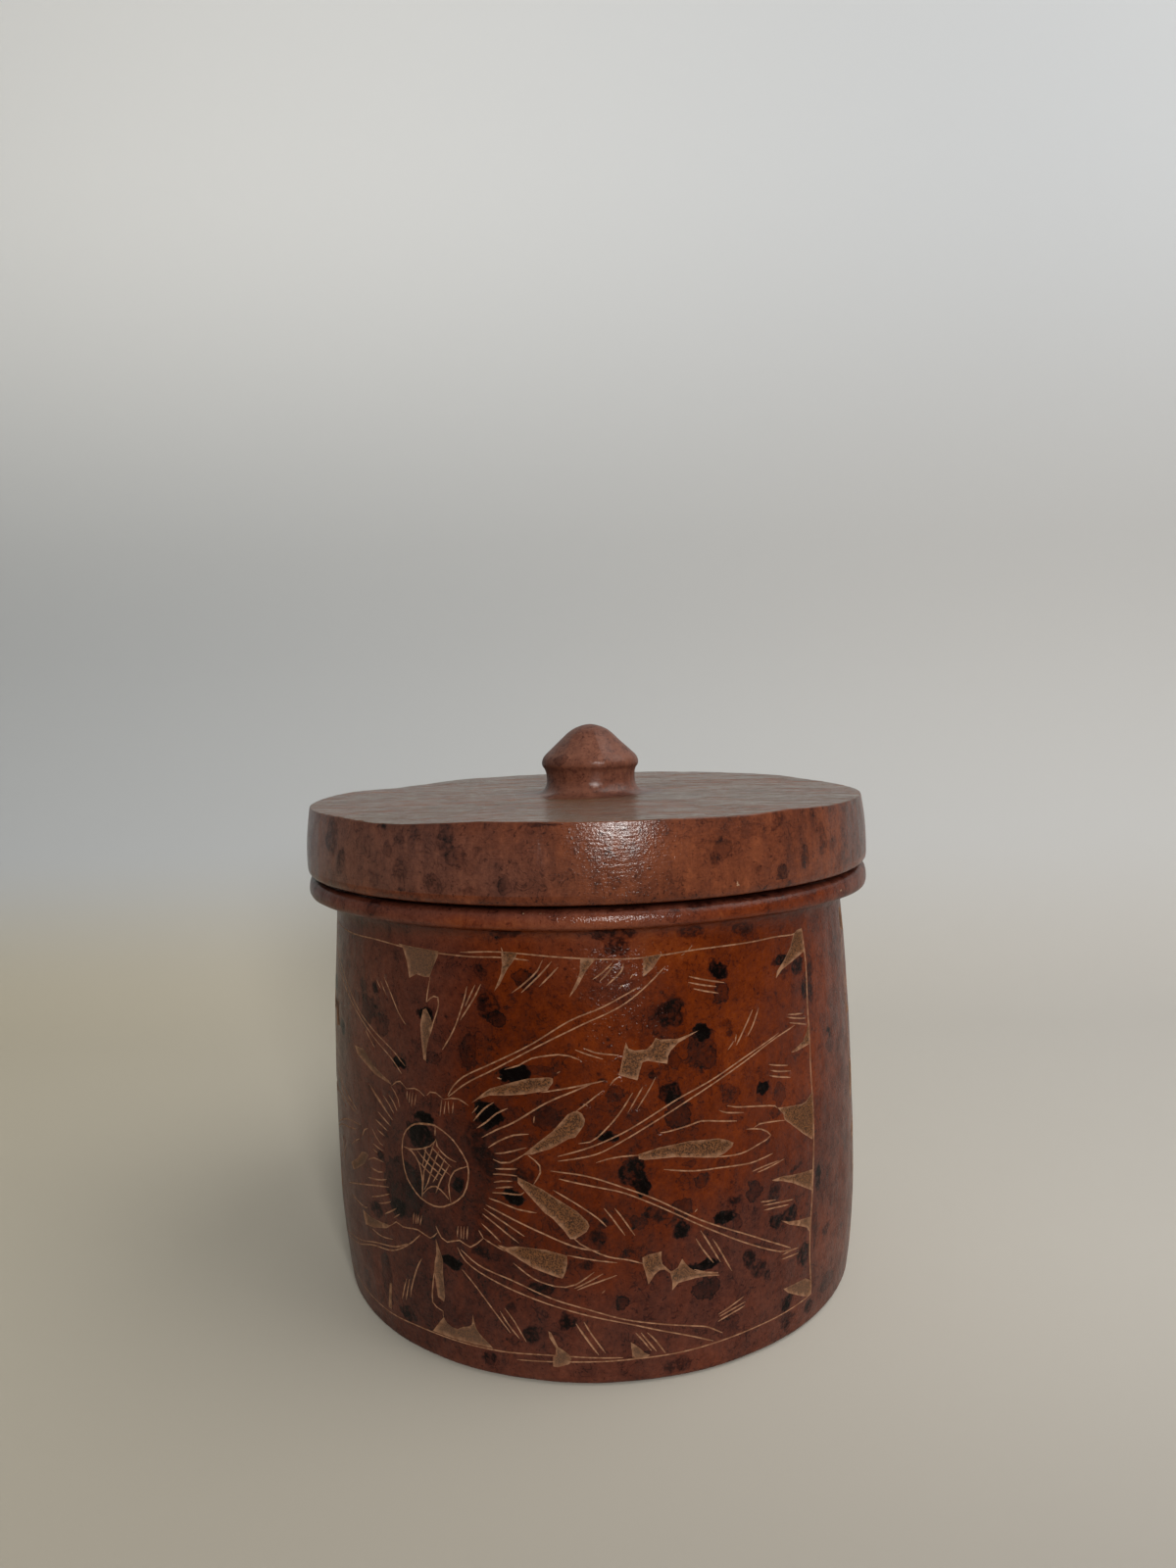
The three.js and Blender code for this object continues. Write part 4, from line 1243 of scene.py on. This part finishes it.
bare_finish = bare_stone()
inner_finish = inner_stone()
jar_brown = [
    srgb(116, 53, 13), srgb(97, 37, 5), srgb(76, 25, 2),
    srgb(50, 15, 4), srgb(27, 6, 3), srgb(4, 2, 2),
]
jar_plum = [
    srgb(112, 65, 49), srgb(97, 52, 38), srgb(78, 39, 28),
    srgb(54, 24, 18), srgb(29, 11, 9), srgb(5, 3, 3),
]
jar_finish = dyed_stone("dyed_jar_stone", jar_brown, jar_plum, (1, 1, 0.25), 0.2, (0.5, 0.5, 1), 0.33)
wrap_stone(jar_sheet, jar_section, 0.4 * mm, jar_finish, bare_finish, inner_finish, 1.7)
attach(jar_sheet, "jar")
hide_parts("jar")


# The lid. It is a second stone, a thick disc with a plug under it that drops into the jar's mouth,
# and the knob is cut from the same stone. Its top was levelled by eye with a rasp.
lid_top = 109.7
lid_widest = 98.6
lid_top_radius = 64.05
lid_columns = 380
lid_row_spacing = 1.5
knob_foot = 14
knob_offset = 1.4
knob_offset_reach = 22
knob_facets = 7
facet_depth = 0.15
facet_start = 0.6
facet_twist = 0.04
facet_heights = [112, 115, 122, 125]
rasp_depth = 0.09
rasp_ease = 5
lid_section = section_of(
    (0, 88.1),
    [(48.4, 88.1)],
    [(49.6, 88.1), (49.6, 89.3)],
    [(49.6, 94.1)],
    [(60.5, 94.1)],
    [(63.9, 94.25)],
    [(65, 94.4), (65, 96.1)],
    [(65, lid_widest)],
    [(64.9, 104), (lid_top_radius, 109)],
    [(64, lid_top), (63.4, lid_top)],
    [(knob_foot, lid_top)],
    [(10.9, 109.75), (10.6, 112.4)],
    [(10.6, 114.6), (11.15, 115.4)],
    [(11.85, 116.1), (11.6, 117.2)],
    [(11.35, 118.3), (10.25, 119.2)],
    [(6, 123.2)],
    [(3.5, 125.65), (0, 125.9)],
)
# The height of the top edge, by the angle round the lid from the front.
edge_heights = [
    (-51, 109.6), (-40, 109.1), (-33, 109.3), (-26, 109.7), (-18, 110.2), (-8, 110.1), (0, 110),
    (14, 109.9), (29, 109.6), (38, 109.9), (50, 109.3), (75, 109.2), (100, 109.1), (114, 109.3),
    (124, 109.8), (150, 110), (195, 109.8), (216, 109.6), (224, 109.2), (234, 108.9), (239, 109.1),
    (250, 109.5), (285, 109.4), (309, 109.6),
]
# Drops, rings, soaked places, plum washes and chips, given as they are for the jar. Of the soaked
# places, the one at 68 round darkens the lid's right edge as painted shade against its sheen, and the
# one at -58 lightens its left side as painted sheen. The soaked place and the plum wash at 0, 122
# lighten and grey the knob as a painted reflection of the sky, and the plum wash at -62 is plum dye
# and also painted sheen.
lid_drops = [
    (-56.5, 105, 3, 3.8, 0.26), (-52.5, 100.5, 2, 2.6, 0.24), (-39.6, 108.9, 0.9, 0.6, 0.4),
    (-35, 100.5, 1.8, 2.4, 0.16), (-35, 96.3, 1.2, 0.7, 0.24), (-25, 106.6, 2, 2.8, 0.2),
    (-18.7, 104.6, 0.9, 0.8, 0.2), (-14.9, 98.1, 0.8, 1.3, 0.2), (-21, 97.2, 2.6, 1, 0.16),
    (-6.5, 109, 3.5, 0.3, 0.3), (-42, 98.5, 1.6, 2, 0.16), (23.2, 105.3, 1.2, 0.5, 0.3),
    (22.6, 101.9, 1, 1.5, 0.2), (37, 108, 1.8, 1.9, 0.2), (36.2, 106, 0.9, 0.8, 0.22),
    (37, 97.4, 1.3, 1.8, 0.18), (31.4, 99, 1, 1.6, 0.14), (43.2, 100.3, 1.2, 2.8, 0.2),
    (42.6, 104.4, 0.8, 2.2, 0.16), (49, 103, 1.3, 3.4, 0.17), (46.6, 107, 1, 2, 0.18),
    (48.6, 100.3, 0.8, 0.8, 0.24), (52.5, 101.5, 1.6, 1.8, 0.16), (58, 103, 1.4, 3.4, 0.16),
]
lid_rings = [
    (-38, 104.4, 1.3, 1.7, 0.23), (-35.3, 106.4, 1.2, 1, 0.2), (-23, 103.2, 1.7, 2, 0.3),
    (-27.6, 98.1, 1.6, 1.6, 0.28), (-14, 97.9, 1.6, 1.6, 0.25), (-9, 108.2, 0.9, 0.9, 0.2),
    (-46, 98, 1.6, 2, 0.15), (-20, 101, 1.4, 1.3, 0.12), (14, 98.1, 1.1, 1.8, 0.15),
    (24.3, 103.2, 1.8, 1.8, 0.23), (36.9, 97.2, 1.2, 1.6, 0.25), (30, 106.5, 2, 1.4, 0.15),
    (32.5, 98, 2, 1.6, 0.15), (55.5, 98.3, 1.8, 1.2, 0.23), (5, 98.5, 1.2, 1.1, 0.15),
    (8.5, 104.5, 1.5, 1, 0.1), (-41, 117.6, 1.8, 1.4, 0.3),
]
# Dents in the lid's side: round it, its height, half width, half height, and depth.
lid_dents = [
    (-7, 105, 1.3, 2.4, 0.3), (-16, 104, 1.5, 1.2, 0.12), (24, 103, 4, 3, 0.15), (-46, 102, 5, 3, 0.2),
    (118, 103, 4, 2.5, 0.2), (175, 101, 5, 3, 0.2), (-140, 105, 3, 2, 0.2),
]
lid_soaks_and_painted_light = [
    (10, 101, 60, 8, -0.055), (-26, 101, 14, 9, 0.02), (68, 101, 12, 10, 0.22),
    (-58, 103, 16, 12, -0.09), (-7, 118, 14, 3, -0.06), (0, 122, 90, 6, -0.09),
]
lid_plum_and_sheen = [
    (-62, 102, 36, 10, 0.9), (-20, 100, 30, 12, 0.4), (100, 104, 30, 20, 0.3), (0, 122, 90, 6, 0.8),
]
lid_chips = [
    (27, 96.2, 0.4, 0.4, 1.2), (27.2, 97.3, 0.35, 0.25, 1.1), (26.2, 100.3, 0.3, 0.3, 1),
    (-14.3, 104.8, 1, 0.22, 0.75), (95, 95.4, 1, 0.6, 0.9), (-160, 96, 0.8, 0.6, 1),
    (-95, 109, 1.4, 0.4, 0.7),
]
# The plug and the underside end at this point of the section.
underside_end = 14
lid_length = length_along(lid_section)
rows = rows_along(lid_section, lid_row_spacing)
ring_x = np.linspace(-half_turn, half_turn, lid_columns + 1)
across = np.tile(ring_x, len(rows))
along = np.repeat(rows, len(ring_x))
radius = np.interp(along, lid_length, lid_section[:, 0])
height = np.interp(along, lid_length, lid_section[:, 1])
around = np.degrees(across / unroll_radius)
outside = along > lid_length[lid_section[:, 0].argmax()]
up_lid = np.where(outside, height, out_of_reach)

turns, heights = np.array(edge_heights).T
level = np.interp(around, turns, heights, period=360) - lid_top
up_side = eased((height - lid_widest) / (lid_top - lid_widest))
lift = np.where(outside, up_side * level * np.clip(radius / lid_top_radius, 0, 1) ** 2, 0)
near_knob = eased((knob_offset_reach - radius) / (knob_offset_reach - knob_foot))
shift = np.where(outside, knob_offset * near_knob, 0)

on_knob = np.interp(height, facet_heights, [0, 1, 1, 0]) * outside
facet_turn = np.radians(around) * knob_facets / 2 + facet_start + facet_twist * height
facets = facet_depth * np.abs(np.sin(facet_turn)) * on_knob
# The top is flat between the first two of these heights, and drops lie on it up to the third.
top_from, flat_to, drops_to = 109.5, 109.8, 110.5
flat_top = outside & (height > top_from) & (height < flat_to)
rasped = np.where(flat_top, np.clip((radius - knob_foot) / rasp_ease, 0, 1), 0)
strokes = [
    noise.noise((0.13 * r * math.sin(turn), 0.5 * r * math.cos(turn), 2)) if flat else 0
    for r, turn, flat in zip(radius, np.radians(around), flat_top)
]
rasp_marks = rasp_depth * rasped * (1 + np.array(strokes))
dents = soaked(across, up_lid, radius, lid_dents)

# The drops on the back of the lid repeat those in front, and the ones on its top fell by chance.
chance = np.random.default_rng(11)
top_drop_count = 26
top_drop_ink = 0.24
top_drops = [
    (
        chance.uniform(-180, 180),
        chance.uniform(20, 58),
        chance.uniform(1.5, 3.5),
        chance.uniform(1.2, 2.5),
        top_drop_ink,
    )
    for _ in range(top_drop_count)
]
back_drops = [(180 + s * 1.2, z, w, h, ink) for s, z, w, h, ink in lid_drops]
back_rings = [(176 - s * 1.1, z, w, h, ink) for s, z, w, h, ink in lid_rings]
over_top = np.where(outside & (height > top_from) & (height < drops_to), radius, out_of_reach)
drop_edge, drop_ink = ink_at(across, up_lid, radius, lid_drops + back_drops)
top_edge, top_ink = ink_at(across, over_top, radius, top_drops)
drop_ink = np.where(top_edge < drop_edge, top_ink, drop_ink)
drop_edge = np.minimum(drop_edge, top_edge)
ring_edge, ring_ink = ink_at(across, up_lid, radius, lid_rings + back_rings)
faces = quads(0, len(ring_x), len(rows))
face_along = np.array([along[list(face)].mean() for face in faces])
lid_sheet = unrolled_sheet(
    "lid_stone",
    across,
    along,
    faces,
    bare=np.zeros(len(faces), bool),
    inner=face_along < lid_length[underside_end],
    cut_depth=(facets + rasp_marks + dents) * mm,
    rasped=rasped,
    lift=lift * mm,
    shift=shift * mm,
    drop_edge=drop_edge,
    drop_ink=drop_ink,
    ring_edge=ring_edge,
    ring_ink=ring_ink,
    soak=soaked(across, up_lid, radius, lid_soaks_and_painted_light),
    wash=soaked(across, up_lid, radius, lid_plum_and_sheen) - 0.5 * rasped,
    chip=soaked(across, up_lid, radius, lid_chips),
)
lid_brown = [
    srgb(136, 78, 50), srgb(112, 60, 37), srgb(88, 44, 27),
    srgb(62, 30, 19), srgb(38, 19, 15), srgb(16, 11, 12),
]
lid_plum = [
    srgb(135, 91, 74), srgb(114, 73, 58), srgb(91, 56, 45),
    srgb(66, 39, 32), srgb(42, 25, 21), srgb(19, 13, 13),
]
lid_finish = dyed_stone("dyed_lid_stone", lid_brown, lid_plum, (1, 1, 0.14), 0.4, (0.15, 0.15, 1), 0.5)
wrap_stone(lid_sheet, lid_section, 0.25 * mm, lid_finish, bare_finish, inner_finish, 5.2)
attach(lid_sheet, "lid")
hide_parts("lid")
